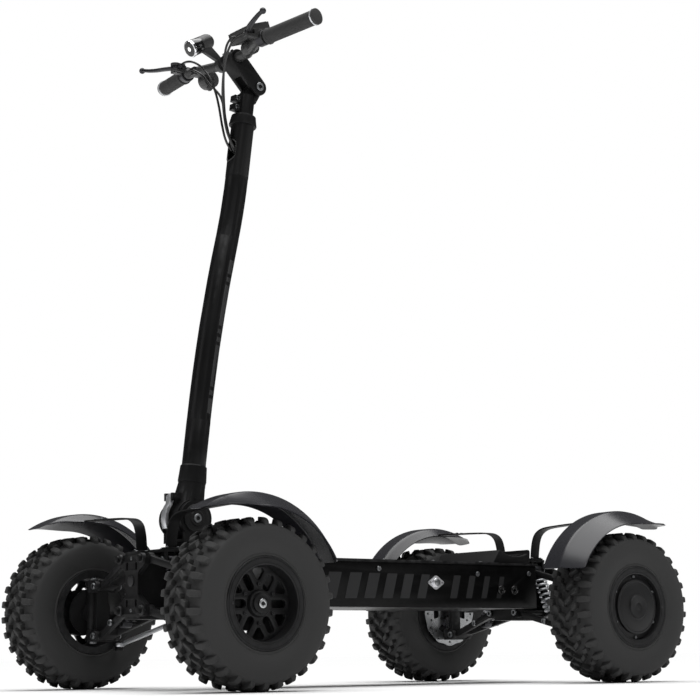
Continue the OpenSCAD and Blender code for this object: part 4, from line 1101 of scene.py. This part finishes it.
@dataclass
class Deck:
    """Deck box with its lid, grip mat, side print, charge port, kick pad and reflector."""

    stripes: int = 11

    def side_print(self) -> list:
        """Slanted bars on both sides of the box, wide in front and narrow at the rear."""
        parts = []
        for k in range(self.stripes):
            share = k / (self.stripes - 1)
            x = 136 - 470 * share**0.93
            wide = 34 - 20 * share
            low, high = 186 + 4 * share, 242 - 3 * share
            lean = 16 - 4 * share
            # The bars leave room for the charge port
            if PORT_X - 20 - wide < x < PORT_X + 28:
                continue
            bar = rounded([(x, low), (x + wide, low), (x + wide - lean, high), (x - lean, high)], 2.0, 2)
            for side in (1, -1):
                parts.append(prism(bar, (0, side * 124.9, 0), (1, 0, 0), (0, 0, 1), (0, side * 0.45, 0)))
        return parts

    def port(self) -> list:
        """Diamond flange of the charge port with its round collar."""
        flange = rounded([(-25, 0), (0, -17), (25, 0), (0, 17)], 6, 5)
        return [plate([flange, circle(10.2, 32)], (PORT_X, 126.5, PORT_Z), (1, 0, 0), (0, 0, 1), 3.0, 0.5),
                revolve([(7.6, 122), (10.4, 122), (10.4, 131.6), (9.6, 132.6), (8.2, 132.8), (7.6, 132)],
                        (PORT_X, 0, PORT_Z), "y", 40)]

    def port_cap(self) -> list:
        """Ribbed screw cap in the port and the two small screws of its flange."""
        cap = turned([(0, 7.5), (0.8, 7.5), (0.95, 6.8), (1.0, 5.4)], (PORT_X, 123, PORT_Z),
                     (PORT_X, 134.4, PORT_Z), 32)
        return [cap] + [hex_bolt((PORT_X + dx, 127.8, PORT_Z), (0, 1, 0), 2.2, 1.4) for dx in (-17, 17)]

    def screws(self) -> list:
        """Round-headed screws of the sides and the lid."""
        heads = [hex_bolt((x, side * 125, z), (0, side, 0), 5.4, 3.2)
                 for x, z in ((-264, 244), (-421, 247), (300, 244), (20, 251)) for side in (1, -1)]
        return heads + [hex_bolt((x, side * 119, 270.2), (0, 0, 1), 4.2, 2.0)
                        for x in range(-280, 300, 140) for side in (1, -1)]

    def mat(self) -> list:
        """Grip mat on the lid, parted by two fine joints."""
        spans = ((-322, -106), (-103, 113), (116, 336))
        return [prism(rounded([(a, -112), (b, -112), (b, 112), (a, 112)], 5, 4), (0, 0, 270.9), (1, 0, 0),
                      (0, 1, 0), (0, 0, 1.1)) for a, b in spans]

    def pad_ribs(self) -> list:
        """Ribs across the kick pad's slope, following its curve."""
        angle = np.radians(np.linspace(253, 297, 9))
        parts = []
        for a in angle:
            x, z = -404 + 96 * math.cos(a), 384 + 96 * math.sin(a)
            parts.append(sweep(np.array([[x, -96, z + 0.6], [x, 96, z + 0.6]]),
                               rounded_rect(3.4, 3.4, 1.2, 2)))
        return parts

    def grommets(self) -> list:
        """Rubber rings where the hoses come out of both sides."""
        return [revolve([(3.6, 119), (8, 119), (8, 125), (10.4, 125), (10.4, 129.4), (9, 131), (5, 131),
                         (3.6, 129.6)], (x, 0, 209), "y", 32) for x in (-333, -373)]

    def make(self) -> None:
        """Builds the deck's pieces."""
        dress_node("deck_tray", DECK, 0.0016)
        dress_node("deck_lid", FRAME_COAT, 0.0018)
        dress_node("kick_pad", PAD, 0.0022)
        dress_node("power_pack", BATTERY, keep=True)
        add("side_stripes", self.side_print(), "chassis", STRIPE, "deck_black", smooth=False)
        add("grip_mat", self.mat(), "chassis", GRIT, "deck_black", smooth=False)
        add("kick_pad_ribs", self.pad_ribs(), "chassis", PAD, "pad_plastic", smooth=False)
        add("charge_port", self.port(), "chassis", ALUMINIUM, "port_aluminium", "deck_fittings", smooth=False)
        add("charge_port_cap", self.port_cap(), "chassis", BOLT, "port_aluminium")
        add("deck_screws", self.screws(), "chassis", BOLT, "bright_steel", smooth=False)
        rings = [(v * np.array([1, s, 1]), f) for v, f in self.grommets() for s in (1, -1)]
        add("hose_grommets", rings, "chassis", CABLE, "deck_black")
        lens = [prism(rounded([(-22, 0), (22, 0), (22, 14), (-22, 14)], 4, 4), (-448.2, 0, 246), (0, 1, 0),
                      (0, 0, 1), (1.8, 0, 0))]
        add("rear_reflector", lens, "chassis", REFLECTOR, "lamp_black", smooth=False)


# Arm pivots at each end: distance from the middle plane, and the two heights
PIVOT_Y, PIVOT_HEIGHTS = 43, (161, 266)


@dataclass
class EndModule:
    """Suspension frame at one end: plates, pivot bolts, slots and small screws."""

    front: bool

    def __post_init__(self) -> None:
        """Sets the end's sign and its name."""
        self.end = 1 if self.front else -1
        self.tag = "front" if self.front else "rear"

    def place(self, parts: list) -> tuple:
        """Joins parts drawn at the front and mirrors them to this end."""
        verts, faces = joined(parts)
        return verts * np.array([self.end, 1, 1]), faces

    def face_plate(self) -> tuple:
        """Waisted plate with four slots and four bush holes, in front of the CAD plate."""
        half = [(0, 148.5), (47, 148.5), (53, 154.5), (53, 169), (46, 177), (31, 184), (24.5, 192),
                (24.5, 236), (31, 243), (46, 250), (53, 257), (53, 268.5), (47, 274.5), (0, 274.5)]
        outline = half[1:-1] + [(-y, z) for y, z in reversed(half[1:-1])]
        holes = [circle(6, 24) + np.array([s * PIVOT_Y, z]) for s in (-1, 1) for z in PIVOT_HEIGHTS]
        slot = rounded([(-3.4, -8.0), (3.4, -8.0), (3.4, 8.0), (-3.4, 8.0)], 3.3, 5)
        holes += [slot + np.array([s * 18, z]) for s in (-1, 1) for z in (175.5, 251)]
        return plate([rounded(outline, 4, 3), *holes], (562.0, 0, 0), (0, 1, 0), (0, 0, 1), 3.2, 0.6)

    def bolts(self) -> list:
        """Big pivot bolts on their bushes, the centre bolt and the small plate screws."""
        parts = []
        for s in (-1, 1):
            for z in PIVOT_HEIGHTS:
                parts.append(hex_bolt((568.8, s * PIVOT_Y, z), (1, 0, 0), 6.6, 6.2))
                parts.append(hex_bolt((449.6, s * PIVOT_Y, z), (-1, 0, 0), 7.4, 4.4))
        parts += [hex_bolt((563.4, 0, z), (1, 0, 0), 3.4, 2.0) for z in PIVOT_HEIGHTS]
        parts += [hex_bolt((x, y, 279.6), (0, 0, 1), 3.4, 2.2) for x in (468, 542) for y in (-22, 22)]
        parts += [hex_bolt((STRUT_X + x, s * 50, 283.6), (0, 0, 1), 3.6, 2.4) for x in (-17, 17)
                  for s in (-1, 1)]
        parts += [hex_bolt((x, s * 63, z), (0, s, 0), 4.2, 3.0) for s in (-1, 1) for x in (372, 424)
                  for z in (196, 232)]
        return parts

    def make(self) -> None:
        """Builds the end module's pieces."""
        dress_node(f"{self.tag}_bulkhead", FRAME_COAT, 0.0008)
        add(f"{self.tag}_face_plate", [self.place([self.face_plate()])], "chassis", FRAME_COAT, "frame_black",
            split=35)
        add(f"{self.tag}_plate_bolts", [self.place(self.bolts())], "chassis", BOLT, "bright_steel",
            smooth=False)
        centre = [turned([(0, 11), (0.7, 11), (0.94, 9.6), (1, 8)], (563.2, 0, 220), (567.4, 0, 220), 40)]
        centre += [turned([(0, 10.2), (0.86, 10.2), (1, 9.2)], (560.6, s * PIVOT_Y, z), (569, s * PIVOT_Y, z),
                          32) for s in (-1, 1) for z in PIVOT_HEIGHTS]
        add(f"{self.tag}_bushes", [self.place(centre)], "chassis", DARK_BOLT, "bright_steel", split=35)


# ---------------------------------------------------------------------------------------------
# Stem


FOLD_X, FOLD_Z = 435, 350
TUBE_RADIUS, STRIP_RADIUS, RIM_RADIUS = 25.0, 25.85, 25.5


@dataclass
class Stem:
    """Folding stem: base casting, latch, tube with its side strip, collar and neck."""

    lean: tuple = (7.0, 13.2, 7.5)

    def centre_line(self, steps: int = 80) -> np.ndarray:
        """Points along the bent tube: straight, two gentle arcs, straight."""
        r1, r2 = 3750.0, 1500.0
        straight_low, straight_top = 134, 140
        a0, a1, a2 = np.radians(self.lean)
        p0 = np.array([418.8, 427.0])
        p1 = p0 + straight_low * np.array([-math.sin(a0), math.cos(a0)])
        c1 = p1 - r1 * np.array([math.cos(a0), math.sin(a0)])
        arc1 = c1 + r1 * np.stack([np.cos(np.linspace(a0, a1, 30)), np.sin(np.linspace(a0, a1, 30))], axis=1)
        c2 = arc1[-1] + r2 * np.array([math.cos(a1), math.sin(a1)])
        arc2 = c2 - r2 * np.stack([np.cos(np.linspace(a1, a2, 20)), np.sin(np.linspace(a1, a2, 20))], axis=1)
        p4 = arc2[-1] + straight_top * np.array([-math.sin(a2), math.cos(a2)])
        line = np.vstack([p0[None], arc1, arc2[1:], p4[None]])
        run = np.concatenate([[0], np.cumsum(np.linalg.norm(np.diff(line, axis=0), axis=1))])
        want = np.linspace(0, run[-1], steps)
        x, z = (np.interp(want, run, line[:, k]) for k in (0, 1))
        return np.stack([x, np.zeros(steps), z], axis=1)

    def strip(self) -> list:
        """Raised bars and squares along the tube's left rear side.

        A patch covers a span of the tube's length and of the angle about its axis; its outer face
        stands a little way off the tube, along the same centre line.
        """
        line = self.centre_line(400)
        run = np.concatenate([[0], np.cumsum(np.linalg.norm(np.diff(line, axis=0), axis=1))])
        tangent = np.gradient(line, axis=0)
        tangent /= np.linalg.norm(tangent, axis=1)[:, None]
        side = np.broadcast_to(Y_AXIS, tangent.shape)
        fore = np.cross(side, tangent)
        parts = []
        spans = [(150, 182), (190, 200), (208, 300), (308, 318), (326, 336), (344, 436), (444, 454),
                 (462, 494)]
        cols = 7
        for lo, hi in spans:
            s = np.linspace(lo, hi, max(4, int((hi - lo) / 6)))
            a = np.radians(np.linspace(96, 124, cols))
            pick = [np.stack([np.interp(s, run, v[:, k]) for k in range(3)], axis=1)
                    for v in (line, fore, side)]
            out = np.cos(a)[None, :, None] * pick[1][:, None] + np.sin(a)[None, :, None] * pick[2][:, None]
            outer = pick[0][:, None] + STRIP_RADIUS * out
            inner = pick[0][:, None] + TUBE_RADIUS * out
            loop = np.concatenate([outer, inner[:, ::-1]], axis=1)
            faces = grid_faces(len(s), 2 * cols, False, True).tolist()
            ends = [[j, 2 * cols - 1 - j, 2 * cols - 2 - j, j + 1] for j in range(cols - 1)]
            last = (len(s) - 1) * 2 * cols
            faces += ends + [[last + k for k in reversed(f)] for f in ends]
            parts.append((loop.reshape(-1, 3), faces))
        return parts

    def base_caps(self) -> list:
        """Side cap discs of the folding barrel, each with a ring groove."""
        return [turned([(0, 30), (0.55, 30), (0.7, 29), (0.72, 24), (0.62, 23.4), (0.62, 17), (0.74, 16.4),
                        (1, 15.4), (1, 4)], (FOLD_X, s * 42.8, FOLD_Z), (FOLD_X, s * 48.5, FOLD_Z), 56)
                for s in (-1, 1)]

    def port_rim(self) -> tuple:
        """Oval rim around the cable port in the front of the tube."""
        steps, sides, radius, middle, straight = 40, 10, 15.2, 1167, 9
        a = np.linspace(0, TAU, steps, endpoint=False)
        y = radius * np.cos(a)
        z = middle + np.where(np.sin(a) > 0, straight, -straight) + radius * np.sin(a)
        line = self.centre_line(200)
        axis_x = np.interp(z, line[:, 2], line[:, 0])
        x = axis_x + np.sqrt(RIM_RADIUS**2 - y**2)
        path = np.stack([x, y, z], axis=1)
        t = np.roll(path, -1, axis=0) - np.roll(path, 1, axis=0)
        t /= np.linalg.norm(t, axis=1)[:, None]
        u = np.cross(t, (1.0, 0, 0))
        u /= np.linalg.norm(u, axis=1)[:, None]
        v = np.cross(t, u)
        ring = circle(1.7, sides)
        verts = path[:, None] + ring[None, :, :1] * u[:, None] + ring[None, :, 1:] * v[:, None]
        return verts.reshape(-1, 3), grid_faces(steps, sides, True, True).tolist()

    def on_axis(self, height: float) -> np.ndarray:
        """Point on the neck's axis at a height above the tube's end."""
        a = math.radians(self.lean[2])
        end = self.centre_line(80)[-1]
        return end + height * np.array([-math.sin(a), 0, math.cos(a)])

    def collars(self) -> list:
        """Lower and upper collars of the tube and the ring under the neck."""
        line = self.centre_line(400)
        low = turned([(0, 26), (0.02, 29.6), (0.1, 30.2), (0.82, 28.4), (0.93, 28.2), (1, 26)],
                     tuple(line[0]), tuple(line[18]), 56)
        top = turned([(0, 26), (0.03, 30.2), (0.12, 31.0), (0.80, 27.8), (0.92, 27.4), (1, 25.6), (1, 19)],
                     tuple(self.on_axis(-20)), tuple(self.on_axis(5)), 56)
        return [low, top]

    def make(self) -> None:
        """Builds the stem's pieces."""
        dress_node("steering_post", FRAME_COAT, 0.0012)
        dress_node("stem_base", FRAME_COAT, 0.0020)
        dress_node("stem_tube", DECK_SATIN, 0.0006)
        dress_node("fold_latch", STEEL, 0.0012)
        add("stem_strip", self.strip(), "stem", REFLECT_STRIP, "frame_black", smooth=False)
        add("fold_caps", self.base_caps(), "steering_post", ARM_COAT, "frame_black", split=35)
        add("port_rim", [self.port_rim()], "stem", CABLE, "frame_black")
        add("stem_collars", self.collars(), "stem", FRAME_COAT, "frame_black", split=35)
        bolts = [hex_bolt((FOLD_X, s * 46.2, FOLD_Z), (0, s, 0), 9.2, 4.4) for s in (-1, 1)]
        add("fold_bolts", bolts, "steering_post", BOLT, "bright_steel", smooth=False)
        pinch = []
        a = math.radians(self.lean[2])
        for h in (18, 38):
            at = self.on_axis(h) + 27 * np.array([math.cos(a), 0, math.sin(a)])
            pinch += [hex_bolt(tuple(at + np.array([0, s * 9, 0])), (0, s, 0), 4.6, 4.0) for s in (-1, 1)]
        add("pinch_bolts", pinch, "stem", BOLT, "bright_steel", smooth=False)


# ---------------------------------------------------------------------------------------------
# Handlebar

GRIP_IN = np.array([336.0, 167.0, 1378.0])
GRIP_OUT = np.array([305.0, 305.0, 1390.0])
GRIP_WAY = (GRIP_OUT - GRIP_IN) / np.linalg.norm(GRIP_OUT - GRIP_IN)
MIRROR = np.array([1.0, -1.0, 1.0])
LEVER_X, LEVER_Y = 372, 148
CABLE_ROUTES = (((362.5, -139, 1387.2), (368, -124, 1390), (370, -100, 1388), (368, -76, 1380),
                 (362, -54, 1364), (355, -34, 1338), (349, -20, 1304), (344, -12, 1268), (337, -8.4, 1221),
                 (328, -8.4, 1191), (314, -8.4, 1171), (300, -8.4, 1163)),
                ((350.5, -119, 1374), (358, -104, 1372), (361, -84, 1364), (357, -60, 1348), (350, -38, 1322),
                 (340, -12, 1290), (335, -4, 1256), (330, -2.8, 1220), (320, -2.8, 1190), (311, -2.8, 1170),
                 (299, -2.8, 1160)), ((362.5, 139, 1387.2), (370, 124, 1390), (374, 100, 1386),
                                      (374, 78, 1374), (370, 56, 1352), (363, 36, 1324), (355, 20, 1292),
                                      (347, 11, 1256), (338, 8.4, 1213), (327, 8.4, 1187), (313, 8.4, 1169),
                                      (300, 8.4, 1161)), ((350, 70, 1402), (362, 66, 1398), (366, 52, 1382),
                                                          (360, 34, 1352), (350, 16, 1312), (342, 6, 1272),
                                                          (336, 2.8, 1236), (325, 2.8, 1196),
                                                          (312, 2.8, 1176), (299, 2.8, 1168)),)


@dataclass
class Handlebar:
    """Bar on its riser with grips, levers, throttle, display, lamp and cables."""

    def both(self, parts: list) -> list:
        """The parts and their mirror images on the right side."""
        return parts + [(np.asarray(v) * MIRROR, f) for v, f in parts]

    def grip(self) -> list:
        """Rubber grip whose radius carries fine rings between a flange and an end bead.

        The radius at share t is 16 plus 0.38 times a flattened sine wave with forty crests.
        """
        t = np.linspace(0.05, 0.93, 180)
        wave = 16.0 + 0.38 * np.tanh(3 * np.sin(40 * TAU * t))
        inner = [(0.0, 12), (0.0, 17.6), (0.012, 18.4), (0.03, 18.4), (0.042, 17.0), (0.046, 16.2)]
        outer = [(0.935, 16.2), (0.94, 15.6), (0.958, 15.6), (0.962, 17.4), (0.97, 17.8), (0.994, 17.5),
                 (1.0, 16.2), (1.0, 2)]
        return [turned(inner + list(zip(t, wave)) + outer, tuple(GRIP_IN), tuple(GRIP_OUT), 48)]

    def end_caps(self) -> list:
        """Bright rings near the ends of the bar."""
        a, b = GRIP_OUT - 9.5 * GRIP_WAY, GRIP_OUT - 5.5 * GRIP_WAY
        return [turned([(0, 16.6), (0.12, 18.1), (0.88, 18.2), (1, 17.2)], tuple(a), tuple(b), 48)]

    def lever_blade(self) -> list:
        """Bent blade of a brake lever, thin in the middle, with a ball at its end."""
        path = smooth_path([(366, 146, 1386), (377, 158, 1386), (388, 172, 1385.8), (396, 192, 1387.0),
                            (401, 214, 1391), (402.4, 230, 1395.6), (402, 242, 1398.8)], 50)
        t = np.linspace(0, 1, 50)
        wide = np.interp(t, [0, 0.1, 0.3, 0.6, 1], [0.7, 1.15, 1.0, 0.82, 0.62])
        blade = sweep(path, rounded_rect(13, 7.8, 3.2),
                      np.stack([wide, np.interp(t, [0, 1], [1, 0.9])], axis=1))
        a = np.linspace(0, math.pi, 17)
        ball = turned(list(zip((1 - np.cos(a)) / 2, np.maximum(7.0 * np.sin(a), 0.15))), (402, 237.2, 1398.2),
                      (402, 250.8, 1399.8), 28)
        knuckle = revolve([(3.1, 1382), (8.4, 1382), (8.8, 1382.8), (8.8, 1389.2), (8.4, 1390), (3.1, 1390)],
                          (LEVER_X, LEVER_Y, 0), "z", 36)
        return [blade, ball, knuckle]

    def perch(self) -> list:
        """Clamp, reservoir body and barrel adjuster of a brake lever."""
        middle = (np.array([342.6, 137.6, 1375.4]) + GRIP_IN) / 2
        ring = turned([(0, 15.2), (0.06, 16.4), (0.94, 16.4), (1, 15.2)], tuple(middle - 9 * GRIP_WAY),
                      tuple(middle + 9 * GRIP_WAY), 40)
        adjuster = turned([(0, 6.2), (0.3, 6.2), (0.32, 5.2), (0.36, 5.2), (0.38, 5.8), (0.8, 5.6),
                           (0.82, 4.2), (1, 3.8)], (367, 147, 1386), (366.6, 128, 1389.4), 24)
        return [ring, adjuster]

    def throttle_box(self) -> list:
        """Screws on the throttle housing."""
        return [hex_bolt((x, -119 + dy, 1384.2), (0, 0, 1), 2.6, 1.6)
                for x, dy in ((308, 0), (338, -6), (338, 6))]

    def display(self) -> tuple:
        """Display glass and its bezel, tilted back like the housing."""
        c, s = math.cos(math.radians(20)), math.sin(math.radians(20))
        u, w = np.array([c, 0, -s]), np.array([s, 0, c])
        centre = np.array([322.0, 78.0, 1412.0])
        frame_outline = rounded([(-25, -41), (25, -41), (25, 41), (-25, 41)], 7, 5)
        glass_outline = rounded([(-19, -34), (19, -34), (19, 34), (-19, 34)], 4, 4)
        bezel = plate([frame_outline, glass_outline], tuple(centre + 13.2 * w), tuple(u), (0, 1, 0), 2.0, 0.5)
        glass = prism(glass_outline, tuple(centre + 12.6 * w), tuple(u), (0, 1, 0), tuple(1.0 * w))
        keys = [turned([(0, 4.4), (0.8, 4.4), (1, 3.6)],
                       tuple(centre + 12 * w + dy * Y_AXIS + 21.5 * u * 0.98),
                       tuple(centre + 14.6 * w + dy * Y_AXIS + 21.5 * u * 0.98), 20) for dy in (-12, 12)]
        return [bezel] + keys, [glass]

    def lamp(self) -> tuple:
        """Bullet lamp: tapered shell, bright ring, domed lens and a ribbed heat sink."""
        c, s = math.cos(math.radians(30)), math.sin(math.radians(30))
        way = np.array([c, 0, -s])
        p = np.array([372.0, -50.0, 1412.0])
        shell = turned([(0, 2.0), (0.015, 6.5), (0.05, 10.4), (0.12, 14.0), (0.24, 16.8), (0.40, 17.9),
                        (0.42, 17.2), (0.46, 17.2), (0.48, 18.0), (0.54, 18.0), (0.56, 17.2), (0.60, 17.2),
                        (0.62, 18.1), (0.97, 18.5), (1.0, 18.0)], tuple(p - 40 * way), tuple(p + 22.6 * way),
                       56)
        ring = turned([(0, 17.4), (0.05, 19.0), (0.5, 19.3), (0.9, 18.6), (1, 17.0), (0.92, 15.8),
                       (0.4, 15.4)], tuple(p + 21.8 * way), tuple(p + 28.4 * way), 56)
        lens = turned([(0, 15.6), (0.3, 15.5), (0.6, 13.0), (0.85, 8.0), (1, 0.3)], tuple(p + 25 * way),
                      tuple(p + 29.4 * way), 48)
        return [shell], [ring], [lens]

    def cables(self) -> list:
        """Glossy cables from the controls down to the port in the stem."""
        return [sweep(smooth_path(route, 90), circle(2.6, 14)) for route in CABLE_ROUTES]

    def make(self) -> None:
        """Builds the handlebar's pieces."""
        dress_node("riser", FRAME_COAT, 0.0014)
        dress_node("handlebar", CONTROL, keep=True)
        dress_node("bar_controls", CONTROL, 0.0010)
        dress_node("thumb_throttle", CONTROL, 0.0006)
        add("ribbed_grips", self.both(self.grip()), "handlebar", GRIP, "grip_rubber", "grips", split=50)
        add("bar_ends", self.both(self.end_caps()), "handlebar", STEEL, "bright_steel", split=35)
        for name, side in (("left", 1), ("right", -1)):
            parts = [(np.asarray(v) * np.array([1, side, 1]), f) for v, f in self.lever_blade()]
            add(f"lever_{name}", parts, f"brake_lever_{name}", LEVER, "lever_black", f"brake_lever_{name}",
                split=40)
        add("lever_clamps", self.both(self.perch()), "handlebar", LEVER, "control_plastic", split=35)
        pins = [hex_bolt((LEVER_X, s * LEVER_Y, z), (0, 0, d), 4.4, 1.4) for s in (-1, 1)
                for z, d in ((1396.4, 1), (1375.6, -1))]
        pins += self.throttle_box()
        pins += [hex_bolt((258, s * 22, 1318), (0, s, 0), 9.5, 4.6) for s in (-1, 1)]
        pins += [hex_bolt((325.6, s * 14, 1388.8), (0.69, 0, 0.72), 4.2, 4.0) for s in (-1, 1)]
        add("bar_screws", pins, "handlebar", BOLT, "bright_steel", smooth=False)
        bezel, glass = self.display()
        add("display_bezel", bezel, "handlebar", GLOSS, "control_plastic", smooth=False)
        add("display_glass", glass, "handlebar", SCREEN, "lamp_black", smooth=False)
        dress_node("headlight", CONTROL, 0.0006)
        shell, ring, lens = self.lamp()
        for name, parts, finish in (("lamp_shell", shell, GLOSS), ("lamp_ring", ring, CHROME),
                                    ("lamp_lens", lens, LENS)):
            add(name, parts, "headlight", finish, "lamp_black", split=45)
        cables = outward(build("cable_run", *joined(self.cables())))
        cables.data.materials.append(CABLE.material())
        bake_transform(cables)
        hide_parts("control_cables")


# ---------------------------------------------------------------------------------------------
# Studio


@dataclass
class Studio:
    """Pale floor, soft lights and the camera."""

    place: tuple = (2.475, 3.235, 0.0686)
    yaw: float = -127.47
    pitch: float = 9.50
    roll: float = -0.66
    lens: float = 93.47
    ambient: float = 0.07
    overhead: float = 3.4
    lights: tuple = (
        ("key", (1.6, 3.2, 3.4), (0.1, 0.0, 0.5), 2.0, 14.0),
        ("left_fill", (-3.0, 3.0, 2.4), (0.0, 0.0, 0.5), 1.6, 10.0),
        ("front_fill", (4.0, -0.6, 2.2), (0.3, 0.0, 0.4), 1.4, 9.0),
    )

    def floor(self) -> None:
        """Plain pale floor."""
        piece = build("floor", np.array([[-30000, -30000, -0.4], [30000, -30000, -0.4], [30000, 30000, -0.4],
                                         [-30000, 30000, -0.4]]), [[0, 1, 2, 3]])
        mat = bpy.data.materials.new("floor_white")
        mat.use_nodes = True
        shader = mat.node_tree.nodes["Principled BSDF"]
        shader.inputs["Base Color"].default_value = (0.93, 0.93, 0.93, 1)
        shader.inputs["Roughness"].default_value = 0.75
        piece.data.materials.append(mat)

    def camera(self) -> None:
        """Camera low in front of the left side, turned by yaw, pitch and roll."""
        y, p, r = (math.radians(a) for a in (self.yaw, self.pitch, self.roll))
        ahead = Vector((math.cos(p) * math.cos(y), math.cos(p) * math.sin(y), math.sin(p)))
        right = ahead.cross(Vector((0, 0, 1))).normalized()
        up = right.cross(ahead)
        side = math.cos(r) * right + math.sin(r) * up
        top = -math.sin(r) * right + math.cos(r) * up
        data = bpy.data.cameras.new("camera")
        data.lens, data.sensor_width, data.clip_end = self.lens, 36.0, 200.0
        holder = bpy.data.objects.new("camera", data)
        bpy.context.scene.collection.objects.link(holder)
        spin = Matrix((side, top, -ahead)).transposed().to_4x4()
        holder.matrix_world = Matrix.Translation(Vector(self.place)) @ spin
        bpy.context.scene.camera = holder

    def make(self) -> None:
        """Sets the world, the lights, the floor and the camera."""
        world = bpy.data.worlds.new("studio")
        world.use_nodes = True
        tree = world.node_tree
        tree.nodes["Background"].inputs["Color"].default_value = (1.0, 1.0, 1.0, 1)
        seen = tree.nodes.new("ShaderNodeLightPath")
        level = tree.nodes.new("ShaderNodeMapRange")
        level.inputs["To Min"].default_value = self.ambient
        level.inputs["To Max"].default_value = 1.0
        tree.links.new(seen.outputs["Is Camera Ray"], level.inputs["Value"])
        tree.links.new(level.outputs["Result"], tree.nodes["Background"].inputs["Strength"])
        bpy.context.scene.world = world
        sun = bpy.data.lights.new("overhead", "SUN")
        sun.energy, sun.angle = self.overhead, math.radians(70)
        bpy.context.scene.collection.objects.link(bpy.data.objects.new("overhead", sun))
        for name, at, aim, size, power in self.lights:
            light = bpy.data.lights.new(name, "AREA")
            light.energy, light.size = power, size
            holder = bpy.data.objects.new(name, light)
            holder.location = at
            holder.rotation_euler = (Vector(aim) - Vector(at)).to_track_quat("-Z", "Y").to_euler()
            bpy.context.scene.collection.objects.link(holder)
        self.floor()
        self.camera()
        bpy.context.scene.view_settings.view_transform = "Standard"


def main() -> None:
    logging.basicConfig(level=logging.INFO, format="%(name)s: %(message)s")
    for corner in Corner:
        Tyre(corner).make()
        Rim(corner).make()
        Fender(corner).make()
        Suspension(corner).make()
    Deck().make()
    for front in (True, False):
        EndModule(front).make()
    Stem().make()
    Handlebar().make()
    Studio().make()


if __name__ == "__main__":
    main()
